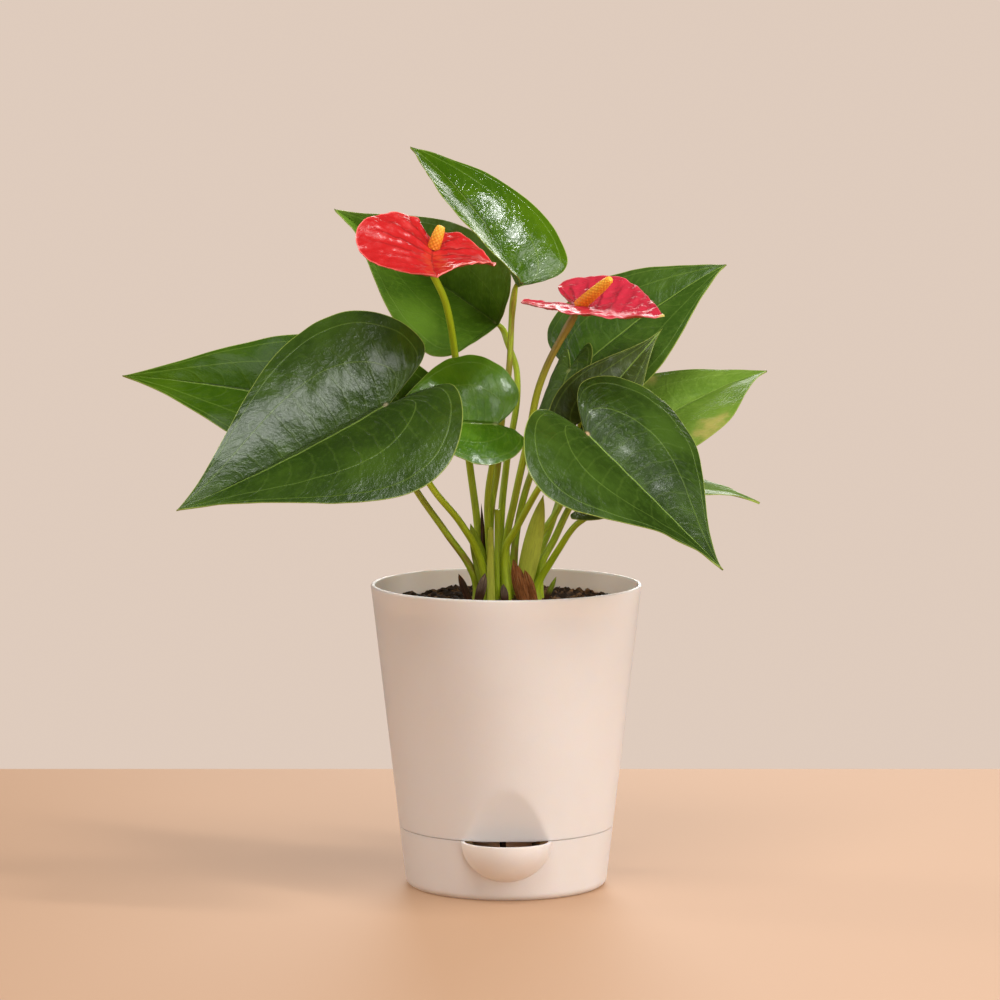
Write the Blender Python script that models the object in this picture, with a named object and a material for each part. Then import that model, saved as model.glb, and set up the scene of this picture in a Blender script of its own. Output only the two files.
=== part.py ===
"""Potted anthurium in a two-piece self-watering planter.

Metres, +Z up. The origin is the centre of the reservoir's flat underside, and the spout faces -Y.
Every plant height is measured from the top of the crown, so the plant follows the pot.
"""

import math

import bmesh
import bpy
import numpy as np
from mathutils import Matrix, Vector

MM = 0.001
GAP = 0.3 * MM

# Planter
RIM_DIAMETER = 125 * MM
BASE_DIAMETER = 92.5 * MM
POT_HEIGHT = 140 * MM
WALL = 2 * MM
SEAM_HEIGHT = 28 * MM
FOOT_ROUND = 3.5 * MM
LIP_ROUND = 0.9 * MM
FLOOR = 2 * MM
SKIRT_DEPTH = 5 * MM
SKIRT_WALL = 1.6 * MM
WINDOW_WIDTH = 42 * MM
ROUND_STEPS = 48

# Scoop and spout
SCOOP_FACE = 45.5 * MM
SCOOP_TOP = 52.7 * MM
SPOUT_WIDTH = 41 * MM
SPOUT_REACH = 16.5 * MM
SPOUT_DEPTH = 18.5 * MM
SPOUT_WALL = 1.5 * MM

# Wicking well and drain holes
WELL_TOP_DIAMETER = 34 * MM
WELL_FOOT_DIAMETER = 28 * MM
WELL_CLEARANCE = 3 * MM
WELL_WALL = 1.6 * MM
SLOT_WIDTH = 3 * MM
SLOT_COUNT = 6
SLOT_TURN = 0.4
DRAIN_DIAMETER = 3.5 * MM
DRAIN_CIRCLE = 66 * MM
DRAIN_COUNT = 8
DRAIN_TURN = 0.3

# Growing medium and crown
SOIL_BELOW_RIM = 10 * MM
SOIL_DOME = 1.2 * MM
CROWN_WIDTH = 44 * MM
CROWN_DEPTH = 40 * MM
CROWN_HEIGHT = 4 * MM

# Plant
LEAF_THICKNESS = 0.8 * MM
SPATHE_THICKNESS = 0.9 * MM
PETIOLE_FOOT = 3.8 * MM
PETIOLE_TOP = 2.6 * MM
PEDUNCLE_FOOT = 3.6 * MM
PEDUNCLE_TOP = 3.2 * MM
SPADIX_DIAMETER = 5.2 * MM
STEM_SLANT = 0.5
STEM_RISE = 4 * MM

SOIL_TOP = POT_HEIGHT - SOIL_BELOW_RIM
CROWN_TOP = SOIL_TOP + GAP + CROWN_HEIGHT
STEM_FOOT = CROWN_TOP + GAP

LEAF_GREEN = (0.045, 0.13, 0.03, 1)
YOUNG_GREEN = (0.13, 0.27, 0.03, 1)
STEM_GREEN = (0.28, 0.36, 0.05, 1)
SCARLET = (0.62, 0.02, 0.02, 1)
CRIMSON = (0.45, 0.02, 0.05, 1)
SPADIX_YELLOW = (0.85, 0.42, 0.06, 1)
DRY_BROWN = (0.16, 0.06, 0.03, 1)
IVORY = (0.82, 0.74, 0.62, 1)
SOIL_BROWN = (0.03, 0.018, 0.011, 1)


def clear_scene():
    for obj in list(bpy.data.objects):
        bpy.data.objects.remove(obj, do_unlink=True)


def material(name, colour, roughness, metallic=0.0):
    made = bpy.data.materials.get(name) or bpy.data.materials.new(name)
    made.use_nodes = True
    shader = made.node_tree.nodes["Principled BSDF"]
    shader.inputs["Base Color"].default_value = colour
    shader.inputs["Roughness"].default_value = roughness
    shader.inputs["Metallic"].default_value = metallic
    return made


def finish(obj, finish_material):
    obj.data.materials.clear()
    obj.data.materials.append(finish_material)
    return obj


def object_from(name, mesh_builder):
    mesh = bpy.data.meshes.new(name)
    mesh_builder.to_mesh(mesh)
    mesh_builder.free()
    obj = bpy.data.objects.new(name, mesh)
    bpy.context.scene.collection.objects.link(obj)
    return obj


def smooth(obj, angle=math.radians(35)):
    obj.data.shade_smooth()
    obj.data.set_sharp_from_angle(angle=angle)
    return obj


def boolean(obj, operation, other):
    modifier = obj.modifiers.new(operation.title() + "_" + other.name, "BOOLEAN")
    modifier.operation = operation
    modifier.solver = "EXACT"
    modifier.object = other
    other.hide_render = True
    other.display_type = "WIRE"


def round_off(centre, radius, start, end, steps=4):
    """Points of an arc in the profile plane, from angle start to angle end in degrees."""
    angles = [math.radians(start + (end - start) * i / steps) for i in range(steps + 1)]
    return [(centre[0] + radius * math.cos(a), centre[1] + radius * math.sin(a)) for a in angles]


def turned(name, profile, steps=ROUND_STEPS):
    """A solid of revolution about Z from a closed profile of (radius, height), outer side first, top to bottom."""
    mesh = bmesh.new()
    rings = []
    for radius, height in profile:
        if radius < GAP / 10:
            rings.append([mesh.verts.new((0, 0, height))])
            continue
        angles = [2 * math.pi * i / steps for i in range(steps)]
        rings.append([mesh.verts.new((radius * math.cos(a), radius * math.sin(a), height)) for a in angles])
    for upper, lower in zip(rings, rings[1:] + rings[:1]):
        for i in range(steps):
            j = (i + 1) % steps
            corners = [upper[i % len(upper)], lower[i % len(lower)], lower[j % len(lower)], upper[j % len(upper)]]
            corners = list(dict.fromkeys(corners))
            if len(corners) > 2:
                mesh.faces.new(corners)
    bmesh.ops.recalc_face_normals(mesh, faces=mesh.faces)
    return object_from(name, mesh)


def block(name, low, high):
    mesh = bmesh.new()
    bmesh.ops.create_cube(mesh, size=1)
    size = [b - a for a, b in zip(low, high)]
    middle = [(a + b) / 2 for a, b in zip(low, high)]
    bmesh.ops.scale(mesh, vec=size, verts=mesh.verts)
    bmesh.ops.translate(mesh, vec=middle, verts=mesh.verts)
    return object_from(name, mesh)


def prism(name, outline, half_width):
    """An outline of (y, z) points pushed out both ways along X."""
    mesh = bmesh.new()
    face = mesh.faces.new([mesh.verts.new((-half_width, y, z)) for y, z in outline])
    pushed = bmesh.ops.extrude_face_region(mesh, geom=[face])
    moved = [item for item in pushed["geom"] if isinstance(item, bmesh.types.BMVert)]
    bmesh.ops.translate(mesh, vec=(2 * half_width, 0, 0), verts=moved)
    bmesh.ops.recalc_face_normals(mesh, faces=mesh.faces)
    return object_from(name, mesh)


def ellipsoid(name, centre, half_sizes, columns=40, rows=20):
    mesh = bmesh.new()
    bmesh.ops.create_uvsphere(mesh, u_segments=columns, v_segments=rows, radius=1)
    bmesh.ops.scale(mesh, vec=half_sizes, verts=mesh.verts)
    bmesh.ops.translate(mesh, vec=centre, verts=mesh.verts)
    return object_from(name, mesh)


def drill(name, diameter, start, end):
    """A round cutter between two points."""
    start = Vector(start)
    end = Vector(end)
    mesh = bmesh.new()
    bmesh.ops.create_cone(
        mesh, cap_ends=True, segments=16, radius1=diameter / 2, radius2=diameter / 2, depth=(end - start).length
    )
    turn = (end - start).to_track_quat("Z", "Y").to_matrix().to_4x4()
    bmesh.ops.transform(mesh, matrix=Matrix.Translation((start + end) / 2) @ turn, verts=mesh.verts)
    return object_from(name, mesh)


# ---------------------------------------------------------------- planter


def outer_radius(height):
    slope = (RIM_DIAMETER - BASE_DIAMETER) / 2 / POT_HEIGHT
    return BASE_DIAMETER / 2 + slope * height


def scoop_outline(offset):
    """The hollow in front of the planter, seen from the side. Offset moves its face towards the soil."""
    foot = SEAM_HEIGHT - SKIRT_DEPTH - WALL
    slope = (outer_radius(SCOOP_TOP) - SCOOP_FACE) / (SCOOP_TOP - SEAM_HEIGHT)
    past_wall = 1.12
    rise = (SCOOP_TOP - SEAM_HEIGHT) * past_wall
    top_face = (-SCOOP_FACE - slope * rise + offset, SEAM_HEIGHT + rise + offset)
    front = -RIM_DIAMETER
    return [
        (front, foot),
        (-SCOOP_FACE + offset, foot),
        (-SCOOP_FACE + offset, SEAM_HEIGHT),
        top_face,
        (front, top_face[1]),
    ]


def make_planter_shell(ivory):
    inner_rim = outer_radius(POT_HEIGHT) - WALL
    skirt_outer = outer_radius(SEAM_HEIGHT - SKIRT_DEPTH) - WALL - GAP
    lip_outer = round_off((RIM_DIAMETER / 2 - LIP_ROUND, POT_HEIGHT - LIP_ROUND), LIP_ROUND, 90, 0)
    shell = turned(
        "planter_shell",
        [(0, POT_HEIGHT)]
        + lip_outer
        + [
            (outer_radius(SEAM_HEIGHT), SEAM_HEIGHT),
            (skirt_outer, SEAM_HEIGHT),
            (skirt_outer, SEAM_HEIGHT - SKIRT_DEPTH),
            (skirt_outer - SKIRT_WALL, SEAM_HEIGHT - SKIRT_DEPTH),
            (skirt_outer - SKIRT_WALL, SEAM_HEIGHT),
            (0, SEAM_HEIGHT),
        ],
    )
    boolean(shell, "DIFFERENCE", prism("scoop_cutter", scoop_outline(0), RIM_DIAMETER / 2))

    floor_top = SEAM_HEIGHT + FLOOR
    well_top = WELL_TOP_DIAMETER / 2
    over = POT_HEIGHT + 2 * WALL
    lip_inner = round_off((inner_rim + LIP_ROUND, POT_HEIGHT - LIP_ROUND), LIP_ROUND, 90, 180)
    cavity = turned(
        "soil_cavity",
        [(0, over), (inner_rim + LIP_ROUND, over)]
        + lip_inner
        + [(outer_radius(floor_top) - WALL, floor_top), (0, floor_top)],
    )
    boolean(cavity, "DIFFERENCE", prism("scoop_wall_keeper", scoop_outline(WALL), RIM_DIAMETER / 2))
    boolean(shell, "DIFFERENCE", cavity)

    window = block(
        "spout_window",
        (-WINDOW_WIDTH / 2, -RIM_DIAMETER / 2, SEAM_HEIGHT - SKIRT_DEPTH - WALL),
        (WINDOW_WIDTH / 2, -BASE_DIAMETER / 4, SEAM_HEIGHT - 2 * GAP),
    )
    boolean(shell, "DIFFERENCE", window)

    well_foot = FLOOR + WELL_CLEARANCE
    well = turned(
        "wicking_well",
        [(well_top, floor_top - FLOOR / 2), (WELL_FOOT_DIAMETER / 2, well_foot), (0, well_foot), (0, floor_top - FLOOR / 2)],
        steps=32,
    )
    boolean(shell, "UNION", well)
    well_bore = turned(
        "well_bore",
        [
            (0, floor_top + WALL),
            (well_top - WELL_WALL, floor_top + WALL),
            (well_top - WELL_WALL, floor_top),
            (WELL_FOOT_DIAMETER / 2 - WELL_WALL, well_foot + WELL_WALL),
            (0, well_foot + WELL_WALL),
        ],
        steps=32,
    )
    boolean(shell, "DIFFERENCE", well_bore)
    for i in range(SLOT_COUNT):
        angle = 2 * math.pi * (i + SLOT_TURN) / SLOT_COUNT
        slot = block(
            f"well_slot_{i}",
            (WELL_FOOT_DIAMETER / 4, -SLOT_WIDTH / 2, well_foot + 2 * WELL_WALL),
            (WELL_TOP_DIAMETER / 2 + WALL, SLOT_WIDTH / 2, SEAM_HEIGHT - 2 * FLOOR),
        )
        slot.data.transform(Matrix.Rotation(angle, 4, "Z"))
        boolean(shell, "DIFFERENCE", slot)
    for i in range(DRAIN_COUNT):
        angle = 2 * math.pi * (i + DRAIN_TURN) / DRAIN_COUNT
        spot = Vector((DRAIN_CIRCLE / 2 * math.cos(angle), DRAIN_CIRCLE / 2 * math.sin(angle), 0))
        drain = drill(
            f"drain_hole_{i}",
            DRAIN_DIAMETER,
            spot + Vector((0, 0, SEAM_HEIGHT - WALL)),
            spot + Vector((0, 0, floor_top + WALL)),
        )
        boolean(shell, "DIFFERENCE", drain)
    return finish(smooth(shell), ivory)


def make_water_reservoir(ivory):
    top = SEAM_HEIGHT - GAP
    foot_radius = outer_radius(FOOT_ROUND)
    foot = round_off((foot_radius - FOOT_ROUND, FOOT_ROUND), FOOT_ROUND, 0, -90)
    body = turned("water_reservoir", [(0, top), (outer_radius(top), top)] + foot + [(0, 0)])
    bowl_centre = (0, -SCOOP_FACE, top)
    bowl = ellipsoid("spout_bowl", bowl_centre, (SPOUT_WIDTH / 2, SPOUT_REACH, SPOUT_DEPTH))
    boolean(
        bowl,
        "DIFFERENCE",
        block("bowl_trim", (-SPOUT_WIDTH, -RIM_DIAMETER, top), (SPOUT_WIDTH, 0, top + 2 * SPOUT_DEPTH)),
    )
    boolean(body, "UNION", bowl)
    over = top + WALL
    chamber = turned(
        "chamber",
        [(0, over), (outer_radius(top) - WALL, over), (outer_radius(top) - WALL, top)]
        + round_off((outer_radius(FLOOR + WALL) - 2 * WALL, FLOOR + WALL), WALL, 0, -90)
        + [(0, FLOOR)],
    )
    boolean(body, "DIFFERENCE", chamber)
    hollow = ellipsoid(
        "spout_hollow",
        bowl_centre,
        (SPOUT_WIDTH / 2 - SPOUT_WALL, SPOUT_REACH - SPOUT_WALL, SPOUT_DEPTH - SPOUT_WALL),
    )
    boolean(body, "DIFFERENCE", hollow)
    return finish(smooth(body), ivory)


def make_potting_mix(soil):
    floor_top = SEAM_HEIGHT + FLOOR + GAP
    well_foot = FLOOR + WELL_CLEARANCE + WELL_WALL + GAP
    wall = WALL + GAP
    mix = turned(
        "potting_mix",
        [
            (0, SOIL_TOP),
            (CROWN_WIDTH / 2 + WALL, SOIL_TOP),
            (outer_radius(SOIL_TOP - SOIL_DOME) - wall, SOIL_TOP - SOIL_DOME),
            (outer_radius(floor_top) - wall, floor_top),
            (WELL_TOP_DIAMETER / 2 - WELL_WALL - GAP, floor_top),
            (WELL_FOOT_DIAMETER / 2 - WELL_WALL - GAP, well_foot),
            (0, well_foot),
        ],
        steps=48,
    )
    boolean(mix, "DIFFERENCE", prism("scoop_clearance", scoop_outline(WALL + GAP), RIM_DIAMETER / 2))
    return finish(smooth(mix), soil)


def make_crown(brown):
    mesh = bmesh.new()
    bmesh.ops.create_cone(mesh, cap_ends=True, segments=28, radius1=0.5, radius2=0.44, depth=CROWN_HEIGHT)
    bmesh.ops.scale(mesh, vec=(CROWN_WIDTH, CROWN_DEPTH, 1), verts=mesh.verts)
    bmesh.ops.translate(mesh, vec=(0, 0, SOIL_TOP + GAP + CROWN_HEIGHT / 2), verts=mesh.verts)
    return finish(smooth(object_from("crown", mesh)), brown)


# ---------------------------------------------------------------- blades


def cubic(start, first, second, end, steps):
    """Points along a cubic curve, without its first point."""
    points = []
    for i in range(1, steps + 1):
        t = i / steps
        weights = ((1 - t) ** 3, 3 * t * (1 - t) ** 2, 3 * t * t * (1 - t), t**3)
        points.append(tuple(sum(w * p[k] for w, p in zip(weights, (start, first, second, end))) for k in (0, 1)))
    return points


class Blade:
    """A heart-shaped blade. Its midrib runs along local +X from the stem, and its upper face is local +Z.

    Lengths are in metres and angles in degrees. spot is the stem's end, as x, y and height above the crown.
    Heading turns the tip about Z from +X, pitch lifts it and roll turns the blade about its midrib.
    """

    def __init__(self, spot, heading, pitch, roll, length, width, **shape):
        self.spot = Vector((spot[0] * MM, spot[1] * MM, CROWN_TOP + spot[2] * MM))
        self.length = length * MM
        self.width = width * MM
        self.fold = math.radians(shape.get("fold", 14))
        self.extra_fold = math.radians(shape.get("extra_fold", 0))
        self.cup = math.radians(shape.get("cup", 22))
        self.droop = math.radians(shape.get("droop", 18))
        self.twist = math.radians(shape.get("twist", 0))
        self.lobe = shape.get("lobe", 1.0)
        self.lean = shape.get("lean", 0.0)
        self.widest = shape.get("widest", 0.11)
        self.fullness = shape.get("fullness", 0.36)
        self.lobe_spread = shape.get("lobe_spread", 0.43)
        turns = ((heading, "Z"), (-pitch, "Y"), (roll, "X"))
        self.turn = Matrix.Identity(3)
        for degrees, axis in turns:
            self.turn = self.turn @ Matrix.Rotation(math.radians(degrees), 3, axis)

    def margin(self, steps=(3, 4, 6)):
        """Half the outline, from the notch round the lobe to the tip, as shares of length and half width."""
        notch = (-0.02, 0)
        back = -0.255 * self.lobe
        lobe_end = (back, self.lobe_spread)
        side = (self.widest, 1)
        tip = (1, 0)
        points = [notch]
        points += cubic(notch, (0.47 * back, 0.10), (back, self.lobe_spread - 0.17), lobe_end, steps[0])
        points += cubic(lobe_end, (back, self.lobe_spread + 0.27), (self.widest - 0.19, 1), side, steps[1])
        points += cubic(side, (self.widest + 0.31, 1), (0.68, self.fullness), tip, steps[2])
        return points

    def bent(self, x, y):
        """Where a point of the flat blade goes once it is folded, cupped and drooped, in world space."""
        fold = self.fold + (self.extra_fold if y > 0 else 0)
        cup = self.cup / (self.width / 2)
        across = (math.sin(fold) - math.sin(fold - cup * abs(y))) / cup * math.copysign(1, y)
        lift = (math.cos(fold - cup * abs(y)) - math.cos(fold)) / cup
        along = max(x, 0)
        twist = self.twist * along / self.length
        side = across * math.cos(twist) - lift * math.sin(twist)
        rise = across * math.sin(twist) + lift * math.cos(twist)
        curl = self.droop / self.length
        if x <= 0 or abs(curl) < 1e-6:
            local = Vector((x, side, rise))
        else:
            angle = curl * x
            local = Vector(
                (
                    math.sin(angle) / curl + math.sin(angle) * rise,
                    side,
                    (math.cos(angle) - 1) / curl + math.cos(angle) * rise,
                )
            )
        return self.spot + self.turn @ local

    def stem_end(self, thickness, stem_diameter):
        """Where a stem stops just under the blade, and the way that it leads back down."""
        down = self.turn @ Vector((0, 0, -1))
        back = self.turn @ Vector((-1, 0, 0))
        away = (down + back * STEM_SLANT).normalized()
        clearance = thickness / 2 + 2 * GAP + stem_diameter / 2 * STEM_SLANT
        return self.spot + down * clearance, away

    def build(self, name, thickness, finish_material, columns=3):
        """The blade as a sheet of rows that run from the midrib to the margin, made solid."""
        outline = self.margin()
        last = len(outline) - 1
        first_on_midrib = 4
        mesh = bmesh.new()
        for sign in (1, -1):
            half = self.width / 2 * (1 + sign * self.lean)
            rows = []
            for i, (along, out) in enumerate(outline):
                share = max(0, i - first_on_midrib) / (last - first_on_midrib)
                root = Vector((self.length * share**1.2, 0))
                rim = Vector((along * self.length, sign * out * half))
                spots = [root.lerp(rim, j / columns) for j in range(columns + 1)]
                rows.append([mesh.verts.new(self.bent(*spot)) for spot in spots])
            for near, far in zip(rows, rows[1:]):
                for j in range(columns):
                    corners = [near[j], near[j + 1], far[j + 1], far[j]]
                    mesh.faces.new(corners[::-1] if sign > 0 else corners)
        bmesh.ops.remove_doubles(mesh, verts=mesh.verts, dist=MM / 100)
        bmesh.ops.dissolve_degenerate(mesh, edges=mesh.edges, dist=MM / 100)
        blade = object_from(name, mesh)
        solid = blade.modifiers.new("Thickness", "SOLIDIFY")
        solid.thickness = thickness
        solid.offset = 0
        return finish(smooth(blade, math.radians(60)), finish_material)


def stem(name, points, foot_diameter, top_diameter, finish_material, steps=3):
    """A round stem along a smooth curve through its points, thinning evenly from foot to top."""
    curve = bpy.data.curves.new(name, "CURVE")
    curve.dimensions = "3D"
    curve.bevel_depth = foot_diameter / 2
    curve.bevel_resolution = 1
    curve.resolution_u = steps
    curve.use_fill_caps = True
    spline = curve.splines.new("BEZIER")
    spline.bezier_points.add(len(points) - 1)
    for i, (knot, point) in enumerate(zip(spline.bezier_points, points)):
        knot.co = point
        knot.handle_left_type = knot.handle_right_type = "AUTO"
        share = i / (len(points) - 1)
        knot.radius = 1 + (top_diameter / foot_diameter - 1) * share
    obj = bpy.data.objects.new(name, curve)
    bpy.context.scene.collection.objects.link(obj)
    return finish(obj, finish_material)


def on_crown(foot, rise=0.0):
    return Vector((foot[0] * MM, foot[1] * MM, STEM_FOOT + rise))


def above_crown(point):
    return Vector((point[0] * MM, point[1] * MM, CROWN_TOP + point[2] * MM))


def stem_to_blade(name, foot, via, blade, thickness, diameters, finish_material):
    """A stem from the crown to the underside of a blade."""
    end, away = blade.stem_end(thickness, diameters[1])
    points = [on_crown(foot), on_crown(foot, STEM_RISE)] + [above_crown(p) for p in via]
    points += [end + away * STEM_RISE, end]
    return stem(name, points, *diameters, finish_material)


def scale_leaf(name, foot, tip, width, curl, thickness, finish_material, bow=0.0):
    """A narrow pointed scale or sheath, curled about its length. Foot and tip are above the crown."""
    foot = above_crown(foot)
    tip = above_crown(tip)
    along = tip - foot
    front = Vector((0, -1, 0))
    across = along.cross(front).normalized()
    outward = across.cross(along).normalized()
    rows, columns = 7, 4
    mesh = bmesh.new()
    grid = []
    for i in range(rows + 1):
        share = i / rows
        half = width * MM / 2 * (0.75 + 0.5 * share) * max(1 - share**3, 0.04)
        row = []
        for j in range(columns + 1):
            angle = math.radians(curl) * (2 * j / columns - 1)
            radius = half / math.radians(curl)
            offset = across * radius * math.sin(angle) + outward * radius * (math.cos(angle) - 1)
            centre = foot + along * share + outward * bow * MM * math.sin(math.pi * share)
            row.append(mesh.verts.new(centre + offset))
        grid.append(row)
    for near, far in zip(grid, grid[1:]):
        for j in range(columns):
            mesh.faces.new((near[j], near[j + 1], far[j + 1], far[j]))
    sheet = object_from(name, mesh)
    solid = sheet.modifiers.new("Thickness", "SOLIDIFY")
    solid.thickness = thickness
    solid.offset = 0
    return finish(smooth(sheet, math.radians(60)), finish_material)


def make_spadix(name, blade, lean, length, finish_material):
    """The flower spike that stands on the spathe, blunt at its top. Lean is (towards the tip, sideways)."""
    direction = blade.turn @ Vector((lean[0], lean[1], 1)).normalized()
    radius = SPADIX_DIAMETER / 2
    rows = 8
    profile = [(0, length * MM)]
    for i in range(1, rows):
        share = 1 - i / rows
        profile.append((radius * (1 - 0.25 * share) * min(1, math.sqrt(i / 1.6)), length * MM * share))
    profile += [(radius, 0), (0, 0)]
    spike = turned(name, profile, steps=14)
    spike.data.transform(direction.to_track_quat("Z", "Y").to_matrix().to_4x4())
    stand_off = SPATHE_THICKNESS / 2 + GAP + radius * (math.hypot(*lean) + math.sin(blade.fold))
    spike.location = blade.spot + blade.turn @ Vector((0, 0, stand_off))
    return finish(smooth(spike), finish_material)


# ---------------------------------------------------------------- the plant's pieces

LEAVES = {
    "left_front": Blade((-54, -48, 92), 190, -30, -41, 106, 118, fold=25, cup=35, droop=-13, twist=-5,
                        lobe=1.1, widest=0.05, fullness=0.26, lobe_spread=0.30),
    "left_back": Blade((-60, -12, 83), 182, 15, -54, 119, 77, droop=20, widest=0.13, fullness=0.31),
    "upper_left": Blade((-5, 30, 124), 144, 28, -66, 106, 83, fold=56, cup=20, droop=-3, twist=26,
                        lobe=0.25, lean=0.08, widest=0.12, lobe_spread=0.54),
    "top": Blade((5, 0, 144), 155, 62, -32, 91, 69, extra_fold=50, cup=29, droop=41,
                 lobe=0.15, lean=0.04, widest=0.15),
    "upper_right": Blade((33, 32, 101), -4, 43, 38, 86, 81, twist=6, lobe=0.15, widest=0.19, fullness=0.41),
    "right_back": Blade((63, 8, 75), 34, 27, 17, 79, 71, fold=17, cup=20, widest=0.12, fullness=0.29),
    "right_front": Blade((36, -48, 79), -20, -42, 21, 87, 110, fold=24, cup=37, droop=1,
                         lobe=0.91, lean=-0.06, widest=0.14, fullness=0.15, lobe_spread=0.38),
    "centre": Blade((-5, -21, 81), 191, 2, -47, 52, 66, fold=20, cup=26, droop=-12, twist=3,
                    lobe=0.9, lean=-0.17, widest=0.16, fullness=0.44, lobe_spread=0.40),
    "right_inner": Blade((36, -12, 83), 19, 47, 72, 57, 36, droop=11, widest=0.08, fullness=0.10),
    "low_right": Blade((40, -22, 46), 12, 17, 15, 82, 48, droop=40, lobe=0.7, widest=0.09, lobe_spread=0.48),
    "centre_back": Blade((29, 10, 103), 235, -52, 15, 60, 42, fold=4, cup=45, droop=20, lean=-0.4),
}

# Each petiole's foot on the crown, then the points that it passes, in millimetres above the crown.
PETIOLES = {
    "left_front": ((-9, -10), [(-12, -13, 19), (-20, -22, 35), (-35, -36, 56)]),
    "left_back": ((-13, -5), [(-15, -6, 11), (-28, -10, 31), (-41, -13, 50)]),
    "upper_left": ((-3, 10), [(-2, 12, 39), (0, 16, 58), (5, 23, 101), (1, 28, 114)]),
    "top": ((-7, 3), [(-7, 3, 38), (-4, 3, 59), (-2, 2, 81), (1, 1, 102)]),
    "upper_right": ((10, 9), [(13, 10, 13), (20, 14, 29), (25, 19, 44), (31, 28, 75)]),
    "right_back": ((15, 4), [(16, 5, 13), (22, 6, 25), (31, 7, 43), (43, 8, 58)]),
    "right_front": ((0, -11), [(0, -13, 24), (4, -17, 32), (10, -24, 44), (16, -32, 55)]),
    "centre": ((-6, -4), [(-8, -7, 27), (-8.5, -10, 46), (-6, -15, 65)]),
    "right_inner": ((7, 3), [(12, 3, 21), (24, 3, 40), (33, -2, 62)]),
    "low_right": ((14, -5), [(16, -6, 9), (20, -9, 16), (24, -13, 23), (31, -18, 34)]),
    "centre_back": ((3, 8), [(6, 10, 35), (14, 13, 62), (24, 13, 86)]),
}

SPATHES = {
    "left": Blade((-33, -43, 162), -90, -24, -21, 41, 73, fold=18, cup=26, droop=-20, twist=31,
                  lobe=1.87, widest=0.15, fullness=0.83, lobe_spread=0.23),
    "right": Blade((33, -20, 135), -29, -9, 10, 44, 66, fold=8, cup=-7, droop=-10,
                   lobe=1.75, widest=0.04, fullness=0.45, lobe_spread=0.51),
}

PEDUNCLES = {
    "left": ((-11, 0), [(-13, 0, 31), (-17, 2, 62), (-20, 3, 87), (-23, 2, 108), (-27, -15, 134)]),
    "right": ((1, -4), [(0, -5, 24), (4, -8, 46), (10, -12, 74), (16, -15, 101)]),
}


def make_leaves(leaf_green, stem_green):
    sizes = (PETIOLE_FOOT, PETIOLE_TOP)
    for place, blade in LEAVES.items():
        blade.build(f"leaf_{place}", LEAF_THICKNESS, leaf_green)
        foot, via = PETIOLES[place]
        stem_to_blade(f"petiole_{place}", foot, via, blade, LEAF_THICKNESS, sizes, stem_green)


def make_flowers(scarlet, crimson, yellow, stem_green):
    sizes = (PEDUNCLE_FOOT, PEDUNCLE_TOP)
    finishes = {"left": scarlet, "right": crimson}
    leans = {"left": ((-0.3, 0.0), 13), "right": ((1.0, -0.1), 23)}
    for place, blade in SPATHES.items():
        blade.build(f"spathe_{place}", SPATHE_THICKNESS, finishes[place])
        foot, via = PEDUNCLES[place]
        stem_to_blade(f"peduncle_{place}", foot, via, blade, SPATHE_THICKNESS, sizes, stem_green)
        lean, length = leans[place]
        make_spadix(f"spadix_{place}", blade, lean, length, yellow)


def make_young_growth(pale_green, stem_green, brown):
    pieces = {
        "new_shoot": ((-7, -15), [(-7.3, -15.5, 20), (-7, -16, 34)], 3.8, 0.8, pale_green),
        "cut_petiole_stub": ((-4, -9), [(-4, -9, 41)], 2.8, 2.8, stem_green),
        "green_sheath": ((-5.5, -12), [(-8, -12, 22), (-17, -10, 35)], 2.0, 0.8, stem_green),
        "dry_bract": ((-9.5, -3.5), [(-10.4, -6.5, 30), (-11.5, -6, 44)], 1.6, 0.7, brown),
    }
    for name, (foot, via, foot_diameter, top_diameter, colour) in pieces.items():
        points = [on_crown(foot), on_crown(foot, STEM_RISE)] + [above_crown(p) for p in via]
        stem(name, points, foot_diameter * MM, top_diameter * MM, colour)
    scale_leaf("unfurling_leaf", (7, -8, 1.2), (17, -4, 47), 9, 50, LEAF_THICKNESS, pale_green, bow=1)


def make_cataphylls(brown):
    """Dry papery scales round the foot of the stems: foot, tip, width and curl."""
    base = 1.0
    scales = {
        "cataphyll_front": ((8, -15, base), (3, -17, 20), 5.5, 45),
        "cataphyll_right": ((12.5, -12, base), (8, -13.5, 15), 5, 40),
        "cataphyll_pale": ((-0.5, -18, base), (-1.5, -18.5, 8), 4, 40),
        "cataphyll_grey": ((-13, -16.5, base), (-9.5, -19, 13), 5, 45),
        "cataphyll_left": ((-17, -11, base), (-22, -13, 12), 4, 40),
        "cataphyll_sprig": ((18, -8, base), (23, -9, 10), 3, 40),
    }
    for name, (foot, tip, width, curl) in scales.items():
        scale_leaf(name, foot, tip, width, curl, LEAF_THICKNESS, brown)


def main():
    clear_scene()
    ivory = material("ivory_plastic", IVORY, 0.42)
    soil = material("potting_mix", SOIL_BROWN, 0.95)
    brown = material("dry_scale", DRY_BROWN, 0.8)
    leaf_green = material("leaf", LEAF_GREEN, 0.3)
    pale_green = material("young_leaf", YOUNG_GREEN, 0.4)
    stem_green = material("stem", STEM_GREEN, 0.4)
    scarlet = material("scarlet_spathe", SCARLET, 0.22)
    crimson = material("crimson_spathe", CRIMSON, 0.25)
    yellow = material("spadix", SPADIX_YELLOW, 0.55)
    make_planter_shell(ivory)
    make_water_reservoir(ivory)
    make_potting_mix(soil)
    make_crown(brown)
    make_leaves(leaf_green, stem_green)
    make_flowers(scarlet, crimson, yellow, stem_green)
    make_young_growth(pale_green, stem_green, brown)
    make_cataphylls(brown)


main()
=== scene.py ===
"""The looks of a potted anthurium: a self-watering planter, its soil, and a plant with two flowers."""

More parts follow.
